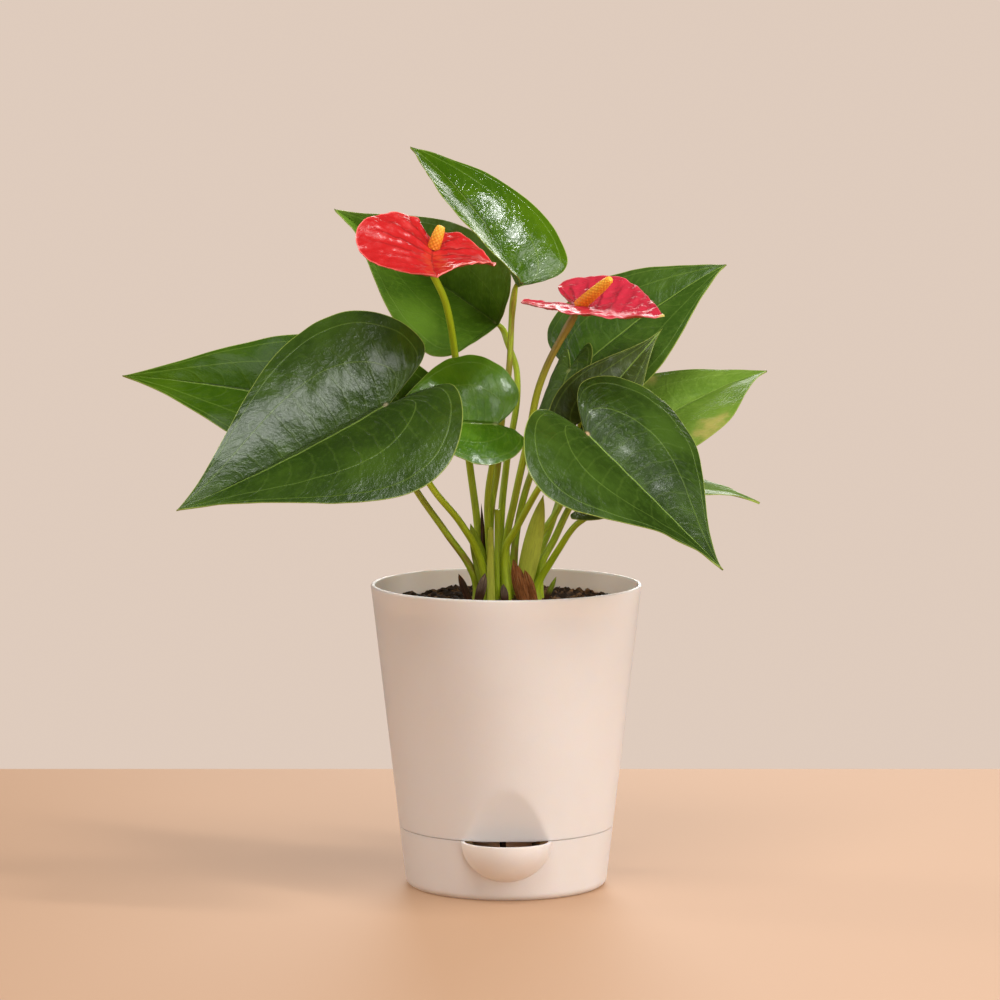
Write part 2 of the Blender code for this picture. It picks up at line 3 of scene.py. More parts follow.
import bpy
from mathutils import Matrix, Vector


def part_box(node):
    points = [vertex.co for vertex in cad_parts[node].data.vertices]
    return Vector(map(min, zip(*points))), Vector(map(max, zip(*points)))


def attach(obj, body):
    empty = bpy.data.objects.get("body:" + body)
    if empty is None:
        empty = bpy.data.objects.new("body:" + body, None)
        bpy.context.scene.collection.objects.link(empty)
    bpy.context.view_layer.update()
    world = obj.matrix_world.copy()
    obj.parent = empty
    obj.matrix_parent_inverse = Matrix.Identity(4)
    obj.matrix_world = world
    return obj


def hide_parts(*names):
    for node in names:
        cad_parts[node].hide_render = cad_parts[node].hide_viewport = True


bl_info = {
    "name": "Potted Anthurium",
    "version": (1, 0, 0),
    "blender": (4, 5, 0),
    "location": "3D View > Sidebar > Anthurium",
    "description": "Builds a potted anthurium around its packed frame",
    "category": "Object",
}

import math
import random
from contextlib import contextmanager

import bmesh
import bpy
import numpy as np
from bpy.props import FloatProperty, FloatVectorProperty, IntProperty, PointerProperty
from mathutils import Matrix, Vector, noise

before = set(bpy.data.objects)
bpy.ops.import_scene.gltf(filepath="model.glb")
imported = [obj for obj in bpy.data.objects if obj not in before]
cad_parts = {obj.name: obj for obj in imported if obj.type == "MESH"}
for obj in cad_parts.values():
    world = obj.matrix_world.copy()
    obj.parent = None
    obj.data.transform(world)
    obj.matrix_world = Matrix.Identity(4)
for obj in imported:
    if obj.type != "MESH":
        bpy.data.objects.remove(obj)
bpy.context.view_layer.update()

MM = 0.001
CROWN_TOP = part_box("crown")[1].z
SOIL_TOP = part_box("potting_mix")[1].z
RIM_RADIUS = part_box("planter_shell")[1].x
RIM_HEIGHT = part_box("planter_shell")[1].z
LIP_ROUND = 0.9 * MM
SKIRT_DEPTH = 5 * MM
SKIRT_WALL = 1.6 * MM
FIT = 0.3 * MM
WELL_TOP, WELL_FOOT, WELL_DEPTH, WELL_WALL = 17 * MM, 14 * MM, 5 * MM, 1.6 * MM
WELL_SLOTS, SLOT_TURN = 6, 0.4
SLOT_SIZE, SLOT_MIDDLE = (12 * MM, 3 * MM, 16 * MM), (15 * MM, 0, 16.1 * MM)
WINDOW_REACH, WINDOW_MIDDLE = 40 * MM, 42.6 * MM
SPOUT_WALL = 1.5 * MM
DRAINS, DRAIN_TURN, DRAIN_RING, DRAIN_WIDTH = 8, 0.3, 33 * MM, 3.5 * MM
# How far a stem's foot is sunk in the crown and how far it first stands straight up, in millimetres.
STEM_SINK, STEM_RISE = 3, 4
FLOOR_SIDE, FLOOR_BACK = 2.0, 0.32
CAMERA_SIDE = -0.0029

# Half an outline is counted in steps from the notch: to the lobe's end, the widest place and the tip.
LOBE_STEP, SIDE_STEP, TIP_STEP = 3, 7, 13
MIDRIB_STEP = 4
# Steps from one side vein to the next, and how many steps each leans towards the tip.
VEIN_STEP, VEIN_SWEEP = 0.75, 2.4
# Steps from one fold of a spathe to the next.
FOLD_STEP = 1.3


# ---------------------------------------------------------------- sizes and colours


def colour(name, description, default):
    words = {"name": name, "description": description}
    return FloatVectorProperty(**words, default=default, subtype="COLOR", min=0, max=1)


def length(name, description, default):
    return FloatProperty(name=name, description=description, default=default, unit="LENGTH", min=0)


def strength(name, description, default):
    return FloatProperty(name=name, description=description, default=default, min=0)


class PlanterLooks(bpy.types.PropertyGroup):
    """The moulded planter."""

    foot: length("Foot", "Width across the planter's foot, if its wall ran straight down", 0.0925)
    wall: length("Wall", "Thickness of the wall", 0.002)
    seam: length("Seam", "Height of the seam between shell and reservoir", 0.028)
    seam_gap: length("Seam gap", "Width of the seam's shadow line", 0.0003)
    scoop_face: length("Scoop face", "How far the scoop stands in front of the middle at the seam", 0.0455)
    scoop_top: length("Scoop top", "Height at which the scoop meets the wall", 0.0527)
    scoop_edge: length("Scoop edge", "Softness of the edge round the scoop", 0.0004)
    spout_width: length("Spout width", "Width of the spout's bowl", 0.041)
    spout_reach: length("Spout reach", "How far the bowl stands out of the scoop's face", 0.0165)
    spout_depth: length("Spout depth", "Depth of the bowl", 0.0185)
    ivory: colour("Ivory", "Colour of the moulded plastic", (0.77, 0.72, 0.695))
    # Painted glow: the orange on the reservoir's inside and the spout's bowl stands for light shining through
    # the plastic.
    painted_glow: colour("Painted glow", "What stands in the reservoir, left on its inside", (0.62, 0.26, 0.045))
    # This colour serves the plastic's soiling and scuffs, and also the painted contact shade at its foot.
    soiling_and_foot_shade: colour("Tint", "Where the plastic is warmer and a little soiled", (0.50, 0.36, 0.24))
    grain: length("Grain", "Depth of the mould's fine texture", 0.00003)


class LeafLooks(bpy.types.PropertyGroup):
    """The leaves and what holds them up."""

    thickness: length("Thickness", "How thick a blade is at its midrib", 0.0008)
    rim_thickness: length("Rim thickness", "How thick a blade is at its margin", 0.00035)
    quilt: length("Quilting", "How far the blade swells between its veins", 0.00036)
    wave: length("Margin wave", "How far the margin ripples", 0.0007)
    rib: length("Midrib", "How far the midrib stands out below", 0.0006)
    margin: colour("Margin", "The thin line round a blade", (0.30, 0.38, 0.07))
    vein: colour("Vein", "The midrib and the main veins", (0.20, 0.32, 0.05))
    stem: colour("Stem", "The young green of a stem", (0.50, 0.65, 0.018))
    stem_shade: colour("Stem shade", "The darker green of a stem", (0.30, 0.41, 0.009))
    russet: colour("Russet", "The brown-orange flush of some stems", (0.27, 0.12, 0.03))
    underside: colour("Underside", "What pales a blade's underside", (0.16, 0.24, 0.07))


class FlowerLooks(bpy.types.PropertyGroup):
    """The two flowers."""

    scarlet: colour("Scarlet", "The front flower's spathe", (0.44, 0.009, 0.010))
    crimson: colour("Crimson", "The other flower's spathe", (0.46, 0.018, 0.040))
    pleat: length("Pleat", "How deep a spathe's pleats are", 0.0008)
    blister: length("Blister", "How far a spathe's skin puffs up between its veins", 0.0006)
    spadix_foot: colour("Spadix foot", "Colour at the foot of a spadix", (0.85, 0.25, 0.014))
    spadix_top: colour("Spadix top", "Colour at the top of a spadix", (0.97, 0.53, 0.045))
    floret: length("Floret", "How far the florets stand out of a spadix", 0.00022)


class SoilLooks(bpy.types.PropertyGroup):
    """The potting mix and the young and dry growth on it."""

    dark: colour("Dark", "Moist potting mix", (0.032, 0.017, 0.009))
    light: colour("Light", "Dry crumbs and fibres", (0.26, 0.135, 0.060))
    lumps: length("Lumps", "How far the soil's lumps rise", 0.0036)
    crumbs: IntProperty(name="Crumbs", description="How many crumbs lie loose", default=800, min=0)
    russet: colour("Russet", "Papery orange-brown scales", (0.36, 0.115, 0.022))
    grey: colour("Grey", "Weathered grey-brown scales", (0.20, 0.130, 0.085))
    umber: colour("Umber", "Dark brown scales", (0.075, 0.030, 0.012))
    straw: colour("Straw", "Pale dry edges of the scales", (0.42, 0.28, 0.14))
    shoot: colour("Shoot", "Pale young growth", (0.60, 0.66, 0.070))
    shoot_shade: colour("Shoot shade", "The deeper green of young growth", (0.30, 0.41, 0.016))


class StudioLooks(bpy.types.PropertyGroup):
    """The floor, the lamps and the camera."""

    floor: colour("Floor", "The plain floor", (0.53, 0.322, 0.195))
    floor_glow: strength("Floor glow", "Light of the floor's own, which softens its shadows", 0.32)
    backdrop: colour("Backdrop", "What lies behind the floor", (0.735, 0.600, 0.508))
    glow: strength("Glow", "How strongly the backdrop lights the piece", 0.58)
    shine: strength("Shine", "How strongly the backdrop shows in glossy surfaces", 0.10)
    lens: FloatProperty(name="Lens", description="Focal length", default=162, unit="CAMERA", min=1)
    distance: length("Distance", "How far in front of the pot the camera stands", 2.060)
    height: length("Height", "How high the camera stands", 0.397)
    pitch: FloatProperty(
        name="Pitch", description="How far the camera looks down", default=math.radians(6.05), subtype="ANGLE"
    )


def looks(group):
    return getattr(bpy.context.scene, f"anthurium_{group}")


# ---------------------------------------------------------------- materials


class Wire:
    """An output socket. Arithmetic on it adds Math nodes to its tree and gives the result."""

    def __init__(self, nodes, socket):
        self.nodes = nodes
        self.socket = socket

    def math(self, operation, *others):
        return self.nodes.node("Math", {"operation": operation}, [self, *others])

    def __add__(self, other):
        return self.math("ADD", other)

    __radd__ = __add__

    def __mul__(self, other):
        return self.math("MULTIPLY", other)

    __rmul__ = __mul__

    def __sub__(self, other):
        return self.math("SUBTRACT", other)

    def __rsub__(self, other):
        return self.nodes.node("Math", {"operation": "SUBTRACT"}, [other, self])

    def __truediv__(self, other):
        return self.math("DIVIDE", other)

    def __pow__(self, other):
        return self.math("POWER", other)

    def __abs__(self):
        return self.math("ABSOLUTE")

    def least(self, other):
        return self.math("MINIMUM", other)

    def most(self, other):
        return self.math("MAXIMUM", other)

    def rise(self, low, high):
        """0 below low and 1 above high, with a smooth step between. It falls where low is over high."""
        ends = {"Value": self, "From Min": low, "From Max": high}
        if low > high:
            ends = {"Value": self, "From Min": high, "From Max": low, "To Min": 1.0, "To Max": 0.0}
        return self.nodes.node("MapRange", {"interpolation_type": "SMOOTHSTEP"}, ends)

    def line(self, width):
        """1 on the line where this distance is 0, falling to 0 at the given width."""
        return 1 - (self / width).rise(0.25, 1.0)

    def parts(self):
        """The three numbers of a vector."""
        split = self.nodes.node("SeparateXYZ", {}, [self])
        return [Wire(self.nodes, socket) for socket in split.socket.node.outputs]


class Nodes:
    """A tree of shader nodes and the ways to wire it."""

    def __init__(self, tree):
        self.tree = tree

    def node(self, kind, settings, values=(), output=0):
        made = self.tree.nodes.new(f"ShaderNode{kind}")
        for key, value in settings.items():
            setattr(made, key, value)
        for key, value in values.items() if isinstance(values, dict) else enumerate(values):
            self.feed(made.inputs[key], value)
        return Wire(self, made.outputs[output])

    def feed(self, socket, value):
        if isinstance(value, Wire):
            self.tree.links.new(value.socket, socket)
        elif socket.type == "RGBA":
            socket.default_value = (*value, 1)
        else:
            socket.default_value = value


class Finish(Nodes):
    """A material with a principled shader. Uniform values go straight to the shader's own sockets."""

    def __init__(self, name, **uniform):
        self.material = bpy.data.materials.new(name)
        self.material.use_nodes = True
        super().__init__(self.material.node_tree)
        self.shader = self.tree.nodes["Principled BSDF"]
        for socket, value in uniform.items():
            self.drive(socket.replace("_", " "), value)

    def drive(self, socket, value):
        self.feed(self.shader.inputs[socket], value)

    def mix(self, under, over, share):
        return self.node("Mix", {"data_type": "RGBA"}, {0: share, 6: under, 7: over}, output=2)

    def held(self, attribute):
        """The three numbers that the mesh holds under this name."""
        return self.node("Attribute", {"attribute_name": attribute}, output=1).parts()

    def vector(self, x, y, z=0.0):
        return self.node("CombineXYZ", {}, [x, y, z])

    def place(self):
        """The point's own place on the piece, in metres."""
        return self.node("TexCoord", {}, output="Object")

    def noise(self, at, scale=1.0, detail=3.0, rough=0.55):
        values = {"Vector": at, "Scale": scale, "Detail": detail, "Roughness": rough}
        return self.node("TexNoise", {}, values)

    def blisters(self, at, scale):
        return self.node("TexVoronoi", {"feature": "SMOOTH_F1"}, {"Vector": at, "Scale": scale})

    def bump(self, height, depth):
        """Relief of this depth, in metres, where the height runs from 0 to 1."""
        self.drive("Normal", self.node("Bump", {}, {"Strength": 1.0, "Distance": depth, "Height": height}))


def ivory_finish():
    look = looks("planter")
    finish = Finish("Ivory plastic", Specular_IOR_Level=0.45, Subsurface_Weight=0.45, Subsurface_Scale=0.006)
    finish.drive("Subsurface Radius", (1.0, 0.7, 0.5))
    at = finish.place()
    height = at.parts()[2]
    cloud = finish.noise(at, 22, 4).rise(0.45, 0.75)
    # Painted contact shade: the foot is warmed and darkened in patches where it meets the floor.
    foot_contact_shade = finish.noise(at, 90, 5).rise(0.50, 0.80) * height.rise(0.006, 0.0)
    scuffs = finish.noise(at, 210, 3).rise(0.70, 0.80) * height.rise(0.030, 0.022) * height.rise(0.010, 0.018)
    share = cloud * 0.05 + foot_contact_shade * 0.30 + scuffs * 0.35
    shade = finish.mix(look.ivory[:], look.soiling_and_foot_shade[:], share.least(0.6))
    x, y, _ = at.parts()
    # Painted light: the reservoir's inside and the spout's bowl are given the orange glow of light through
    # the plastic, in place of their shade.
    inside = (x * x + y * y).math("SQRT").rise(0.0445, 0.0430) * height.rise(0.0275, 0.0255)
    finish.drive("Base Color", finish.mix(shade, look.painted_glow[:], inside * (cloud * 0.3 + 0.7)))
    finish.drive("Roughness", finish.noise(at, 60, 4) * 0.12 + 0.36)
    finish.bump(finish.noise(at, 1500, 2), look.grain)
    return finish.material


def leaf_finish(name, deep, fresh, gloss, sheen=0.15, hub=(0.30, 0.38, 0.12), blush=None, blush_at=None):
    """A waxy blade whose greens are deep and fresh. Hub is where its veins meet at the stem.

    A blush is a patch of another colour, centred on a step and a share of the way to the margin.
    """
    look = looks("leaf")
    finish = Finish(name, Specular_IOR_Level=sheen, Coat_Roughness=0.16)
    step, out, side = finish.held("blade_place")
    reach, spread, under = finish.held("blade_scale")
    along, across, _ = finish.held("blade_flat")
    at = finish.vector(along, across, side * 40)
    wander = finish.noise(at, 0.09, 2) * 0.5 - 0.25
    swept = step - VEIN_SWEEP * out**1.4
    phase = (swept + wander) / VEIN_STEP
    beside_vein = abs((phase + 0.5).math("FRACT") - 0.5) * VEIN_STEP * spread
    laterals = beside_vein.line(0.8) * out.rise(0.95, 0.5)
    arcs = arc_vein(step, out, reach, 0.6, 0.87, 0.9).most(arc_vein(step, out, reach, 2.6, 0.52, 1.1))
    rib = abs(across).line(0.75 - along * 0.004) * along.rise(-1.5, 0.5)
    junction = (along * along + across * across).math("SQRT").rise(1.9, 0.5)
    ripple = finish.noise(finish.vector(swept * 2.2, out * reach * 0.10, side * 7), 1.0, 3, 0.6)
    crinkle = finish.noise(at, 0.32, 3, 0.55)
    green = finish.mix(deep, fresh, finish.noise(at, 0.035, 3).rise(0.35, 0.68))
    green = finish.mix(green, fresh, crinkle.rise(0.48, 0.70) * 0.55)
    green = finish.mix(green, look.vein[:], laterals * 0.06 + arcs * 0.22)
    green = finish.mix(green, look.vein[:], rib * 0.80)
    green = finish.mix(green, hub, junction * 0.9)
    if blush:
        away = abs(step - blush_at[0]) * 0.30 + abs(out - blush_at[1]) * 2 + finish.noise(at, 0.12, 3) * 0.9
        green = finish.mix(green, blush, away.rise(1.05, 0.55) * 0.65)
    green = finish.mix(green, look.underside[:], under * 0.72)
    green = finish.mix(green, look.margin[:], ((1 - out) * reach).line(0.55) * 0.75)
    finish.drive("Base Color", green)
    finish.drive("Roughness", crinkle * 0.14 + under * 0.16 + (gloss - 0.07))
    finish.drive("Coat Weight", (1 - under) * min(0.22, sheen))
    veins = laterals.most(arcs).most(rib)
    finish.bump(ripple * 0.60 + crinkle * 0.42 - veins * 0.08, 0.0010)
    return finish.material


def arc_vein(step, out, reach, start, level, bend):
    """A vein that leaves the stem's end at the start step, then runs at one level round the blade."""
    settled = 1 - ((start - step) / bend).least(0.0).math("EXPONENT")
    return (abs(out - settled * level) * reach).line(0.55)


def spathe_finish(name, red, pale, back):
    """A lacquered, puckered spathe with a yellowish tip, its folds painted darker towards the spadix as
    painted shade.
    """
    finish = Finish(name, Specular_IOR_Level=0.35, Coat_Roughness=0.20, Coat_Weight=0.22)
    step, out, side = finish.held("blade_place")
    reach, spread, under = finish.held("blade_scale")
    along, across, _ = finish.held("blade_flat")
    at = finish.vector(along, across, side * 20)
    wander = finish.noise(at, 0.12, 2) * 0.5 - 0.25
    beside_vein = abs(((step + wander) / FOLD_STEP + 0.5).math("FRACT") - 0.5) * FOLD_STEP * spread
    veins = beside_vein.line(1.0) * out.rise(1.0, 0.5)
    # Painted shade: the fold lines are painted darker, most strongly near the spadix.
    shade = finish.mix(red, tuple(0.45 * c for c in red), veins * (along / 30.0).rise(0.9, 0.1) * 0.75)
    shade = finish.mix(shade, pale, finish.noise(at, 0.10, 3).rise(0.52, 0.72) * 0.18)
    shade = finish.mix(shade, back, under)
    shade = finish.mix(shade, pale, ((1 - out) * reach).line(0.8) * 0.75)
    shade = finish.mix(shade, (0.55, 0.50, 0.12), (along / 44.0).rise(0.93, 1.0))
    finish.drive("Base Color", shade)
    finish.drive("Roughness", finish.noise(at, 0.4, 3) * 0.10 + under * 0.12 + 0.26)
    finish.bump(finish.noise(at, 0.34, 2) * 0.4 - finish.blisters(at, 0.34) * 0.5 - veins * 0.10, 0.0006)
    return finish.material


def stem_finish(name, flush=0.0, flush_foot=0.0):
    """A finely striped stem. Flush is how far russet runs down from its top; flush_foot clouds it."""
    look = looks("leaf")
    finish = Finish(name, Roughness=0.38, Specular_IOR_Level=0.4, Coat_Weight=0.12, Coat_Roughness=0.3)
    along, around, share = finish.held("stem_place")
    stripes = finish.noise(finish.vector(along * 0.02, around * 1.4), 3.0, 4)
    clouds = finish.noise(finish.vector(along * 0.05, around * 0.2), 1.0, 3)
    green = finish.mix(look.stem_shade[:], look.stem[:], (stripes * 0.6 + clouds * 0.4).rise(0.36, 0.60))
    green = finish.mix(green, look.stem[:], share.rise(0.80, 1.0) * 0.5)
    specks = finish.noise(finish.vector(along * 0.5, around * 2), 3.0, 3).rise(0.64, 0.74)
    green = finish.mix(green, (0.20, 0.12, 0.05), specks * 0.18)
    if flush_foot:
        green = finish.mix(green, look.russet[:], clouds.rise(0.42, 0.62) * flush_foot)
    if flush:
        green = finish.mix(green, look.russet[:], (share + stripes * 0.12).rise(1.0 - flush, 1.0) * 0.8)
    finish.drive("Base Color", green)
    finish.bump(stripes, 0.0003)
    return finish.material


def spadix_finish(name):
    look = looks("flower")
    finish = Finish(name, Specular_IOR_Level=0.4, Subsurface_Weight=0.15, Subsurface_Scale=0.002)
    along, around, share = finish.held("stem_place")
    shade = finish.mix(look.spadix_foot[:], look.spadix_top[:], share.rise(0.05, 0.85))
    knob = finish.held("floret_height")[0]
    shade = finish.mix(shade, tuple(0.55 * c for c in look.spadix_foot), (1 - knob) * 0.45)
    finish.drive("Base Color", shade)
    finish.drive("Roughness", knob * 0.1 + 0.42)
    return finish.material


def soil_finish(name="Potting mix", dry=0.0):
    """Moist, fibrous potting mix. Dry lightens it."""
    look = looks("soil")
    finish = Finish(name, Specular_IOR_Level=0.2)
    at = finish.place()
    grains = finish.noise(at, 420, 5, 0.7)
    shade = finish.mix(look.dark[:], look.light[:], (finish.noise(at, 160, 4) + dry).rise(0.50, 0.76))
    finish.drive("Base Color", finish.mix(shade, tuple(0.5 * c for c in look.dark), grains.rise(0.5, 0.3)))
    finish.drive("Roughness", grains * 0.2 + 0.72)
    finish.bump(grains, 0.0012)
    return finish.material


def papery_finish(name, shade, edge, foot=None, dark=0.35):
    """A thin ribbed scale or sheath, streaked darker along its fibres. Foot is its colour low down."""
    finish = Finish(name, Specular_IOR_Level=0.3)
    along, across, share = finish.held("stem_place")
    fibres = finish.noise(finish.vector(along * 0.05, across * 1.3), 2.2, 4, 0.65)
    mixed = finish.mix(shade, tuple(dark * c for c in shade), fibres.rise(0.56, 0.40))
    mixed = finish.mix(mixed, edge, fibres.rise(0.54, 0.68) * 0.65)
    if foot:
        mixed = finish.mix(mixed, foot, (share + fibres * 0.3).rise(0.75, 0.35))
    finish.drive("Base Color", mixed)
    finish.drive("Roughness", fibres * 0.2 + 0.50)
    finish.bump(fibres, 0.0006)
    return finish.material


# ---------------------------------------------------------------- meshes


def piece(name, mesh, material, slot, *nodes, sharp=40):
    """A finished piece that rides on the pot and stands for its nodes."""
    mesh.name = name
    obj = bpy.data.objects.new(name, mesh)
    bpy.context.scene.collection.objects.link(obj)
    obj.data.materials.append(material)
    mesh.shade_smooth()
    mesh.set_sharp_from_angle(angle=math.radians(sharp))
    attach(obj, "root")
    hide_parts(*nodes)
    return obj


@contextmanager
def bmesh_of(mesh):
    """The mesh as a bmesh, which is written back to it at the end."""
    made = bmesh.new()
    made.from_mesh(mesh)
    yield made
    made.to_mesh(mesh)
    made.free()


def mesh_from(points, faces, held, weld=0.0):
    """A mesh whose vertices hold the given vectors, with coinciding vertices joined."""
    mesh = bpy.data.meshes.new("piece")
    mesh.from_pydata([tuple(p) for p in points], [], faces)
    for name, values in held.items():
        layer = mesh.attributes.new(name, "FLOAT_VECTOR", "POINT")
        layer.data.foreach_set("vector", np.asarray(values, float).ravel())
    if weld:
        with bmesh_of(mesh) as joined:
            bmesh.ops.remove_doubles(joined, verts=joined.verts, dist=weld)
            bmesh.ops.dissolve_degenerate(joined, edges=joined.edges, dist=weld / 2)
    mesh.validate()
    return mesh


def ringed_faces(rings, sides):
    """The faces between one ring of a tube and the next."""
    faces = []
    for i in range(rings):
        for k in range(sides):
            a, b = i * sides + k, i * sides + (k + 1) % sides
            faces.append((a, b, b + sides, a + sides))
    return faces


def rough(*at):
    """Smooth noise about 0 at a place given by its three numbers."""
    return noise.noise(Vector(at))


def cubic(start, first, second, end, t):
    """A point of a cubic curve."""
    weights = ((1 - t) ** 3, 3 * t * (1 - t) ** 2, 3 * t * t * (1 - t), t**3)
    return sum(w * np.array(p) for w, p in zip(weights, (start, first, second, end)))


class Blade:
    """A heart-shaped blade. Its midrib runs along local +X from the stem, and its upper face is local +Z.

    Lengths are in metres and angles in degrees. spot is the stem's end, as x, y and height above the crown.
    Heading turns the tip about Z from +X, pitch lifts it and roll turns the blade about its midrib.
    """

    def __init__(self, spot, heading, pitch, roll, length, width, **shape):
        self.spot = above_crown(spot)
        self.length = length * MM
        self.width = width * MM
        self.fold = math.radians(shape.get("fold", 14))
        self.extra_fold = math.radians(shape.get("extra_fold", 0))
        self.fold_gain = shape.get("fold_gain", 0.0)
        self.cup = math.radians(shape.get("cup", 22))
        self.droop = math.radians(shape.get("droop", 18))
        self.twist = math.radians(shape.get("twist", 0))
        self.lobe = shape.get("lobe", 1.0)
        self.lean = shape.get("lean", 0.0)
        self.widest = shape.get("widest", 0.11)
        self.fullness = shape.get("fullness", 0.36)
        self.lobe_spread = shape.get("lobe_spread", 0.43)
        self.turn = Matrix.Identity(3)
        for degrees, axis in ((heading, "Z"), (-pitch, "Y"), (roll, "X")):
            self.turn = self.turn @ Matrix.Rotation(math.radians(degrees), 3, axis)

    def margin(self, step):
        """A point of half the outline, as shares of length and half width, from the notch to the tip."""
        notch = (-0.02, 0)
        back = -0.255 * self.lobe
        lobe_end = (back, self.lobe_spread)
        side = (self.widest, 1)
        if step <= LOBE_STEP:
            handles = (0.47 * back, 0.10), (back, self.lobe_spread - 0.17)
            return cubic(notch, *handles, lobe_end, step / LOBE_STEP)
        if step <= SIDE_STEP:
            share = (step - LOBE_STEP) / (SIDE_STEP - LOBE_STEP)
            return cubic(lobe_end, (back, self.lobe_spread + 0.27), (self.widest - 0.19, 1), side, share)
        share = (step - SIDE_STEP) / (TIP_STEP - SIDE_STEP)
        return cubic(side, (self.widest + 0.31, 1), (0.68, self.fullness), (1, 0), share)

    def bent(self, x, y):
        """Where a point of the flat blade goes once it is folded, cupped and drooped."""
        gathered = 1 + self.fold_gain * (1 - 2 * max(x, 0) / self.length)
        fold = self.fold + (self.extra_fold * gathered if y > 0 else 0)
        cup = self.cup / (self.width / 2)
        across = (math.sin(fold) - math.sin(fold - cup * abs(y))) / cup * math.copysign(1, y)
        lift = (math.cos(fold - cup * abs(y)) - math.cos(fold)) / cup
        twist = self.twist * max(x, 0) / self.length
        side = across * math.cos(twist) - lift * math.sin(twist)
        rise = across * math.sin(twist) + lift * math.cos(twist)
        curl = self.droop / self.length
        if x <= 0 or abs(curl) < 1e-6:
            return self.spot + self.turn @ Vector((x, side, rise))
        angle = curl * x
        ahead = math.sin(angle) / curl + math.sin(angle) * rise
        down = (math.cos(angle) - 1) / curl + math.cos(angle) * rise
        return self.spot + self.turn @ Vector((ahead, side, down))

    def flat(self, step, share, sign):
        """A point of the flat blade, on the row that leaves the midrib for this step of the margin."""
        along, out = self.margin(step)
        on_midrib = max(0, step - MIDRIB_STEP) / (TIP_STEP - MIDRIB_STEP)
        root = self.length * on_midrib**1.2
        rim = along * self.length
        sweep = 1.35 if rim > root else 0.9
        half = self.width / 2 * (1 + sign * self.lean)
        return root + (rim - root) * share**sweep, sign * out * half * share

    def mesh(self, relief, thickness, rim_thickness, rib, rows_per_step, columns):
        """The blade as a thin closed slab. relief(step, share, sign, x, y) is how far its skin rises."""
        steps = [i / rows_per_step for i in range(TIP_STEP * rows_per_step + 1)]
        shares = [j / columns for j in range(-columns, columns + 1)]
        signs = [math.copysign(1, c) for c in shares]
        flat = np.array([[self.flat(s, abs(c), sign) for c, sign in zip(shares, signs)] for s in steps])
        flat[:, :columns, 1] = np.minimum(flat[:, :columns, 1], -1e-9)
        middle = np.array([[self.bent(x, y) for x, y in row] for row in flat])
        down_rows = np.gradient(middle, axis=0)
        normals = np.cross(np.gradient(middle, axis=1), down_rows)
        size = np.linalg.norm(normals, axis=2, keepdims=True)
        upward = np.array(self.turn @ Vector((0, 0, 1)))
        normals = np.where(size > 1e-14, normals / np.maximum(size, 1e-14), upward)
        normals *= np.where(np.sum(normals * upward, axis=2, keepdims=True) < 0, -1, 1)
        normals[0] = normals[0] + normals[0][::-1]
        normals[0] /= np.linalg.norm(normals[0], axis=1, keepdims=True)
        normals[-1] = normals[-2].mean(axis=0)
        normals[-1] /= np.linalg.norm(normals[-1], axis=1, keepdims=True)
        spread = np.linalg.norm(down_rows, axis=2) * rows_per_step / MM
        reach = np.linalg.norm(flat - flat[:, columns : columns + 1], axis=2)[:, [0, -1]] / MM
        points, place, scale, spots = [], [], [], []
        for under in (0, 1):
            for i, step in enumerate(steps):
                for j, sign in enumerate(signs):
                    far = reach[i, 1 if sign > 0 else 0]
                    x, y = flat[i, j] / MM
                    share = abs(shares[j])
                    lift = relief(step, share, sign if i else 1, x, y)
                    half = (rim_thickness + (thickness - rim_thickness) * (1 - share**6)) / 2
                    if under:
                        half = -half - rib * math.exp(-((y / 1.1) ** 2)) * (1 - step / TIP_STEP) * (x > 0)
                    points.append(middle[i, j] + normals[i, j] * (lift + half))
                    place.append((step, share, sign))
                    scale.append((far, spread[i, j], under))
                    spots.append((x, y, 0))
        wide, high = len(shares), len(steps)
        faces = []
        for i in range(high - 1):
            for j in range(wide - 1):
                a = i * wide + j
                upper = [a, a + 1, a + wide + 1, a + wide]
                lower = [k + wide * high for k in upper[::-1]]
                faces += [upper, lower]
            for j, flip in ((0, False), (wide - 1, True)):
                a = i * wide + j
                rim = [a, a + wide, a + wide + wide * high, a + wide * high]
                faces.append(rim[::-1] if flip else rim)
        held = {"blade_place": place, "blade_scale": scale, "blade_flat": spots}
        return mesh_from(points, faces, held, weld=4e-6)


def leaf_relief(seed, quilt, wave):
    """Soft quilting and a rippled margin."""

    def relief(step, share, sign, x, y):
        swept = step - VEIN_SWEEP * share**1.4
        swell = rough(x * 0.10, y * 0.10, seed) + 0.8 * rough(swept * 1.1, share * 1.5, seed)
        ripple = rough(step * 1.1, sign * 5, seed + 9)
        centre = min(1, math.hypot(x, y) / 6)
        return centre * (quilt * swell + wave * ripple * share**4)

    return relief


def spathe_relief(seed, pleat, blister):
    """Pleats that fan out from the spadix, with the skin puffed up between them."""

    def relief(step, share, sign, x, y):
        wander = 0.5 * rough(x * 0.08, y * 0.08, seed)
        fan = math.cos((step + wander) * 2 * math.pi / FOLD_STEP)
        folds = (fan - 1) * share * (1.15 - share) + 2 * rough(step * 0.9, sign * 4, seed + 2) * share**3
        puff = rough(x * 0.22, y * 0.22, seed + 5) + 0.5 * rough(x * 0.5, y * 0.5, seed)
        centre = min(1, math.hypot(x, y) / 5)
        return centre * (pleat * folds + blister * puff)

    return relief


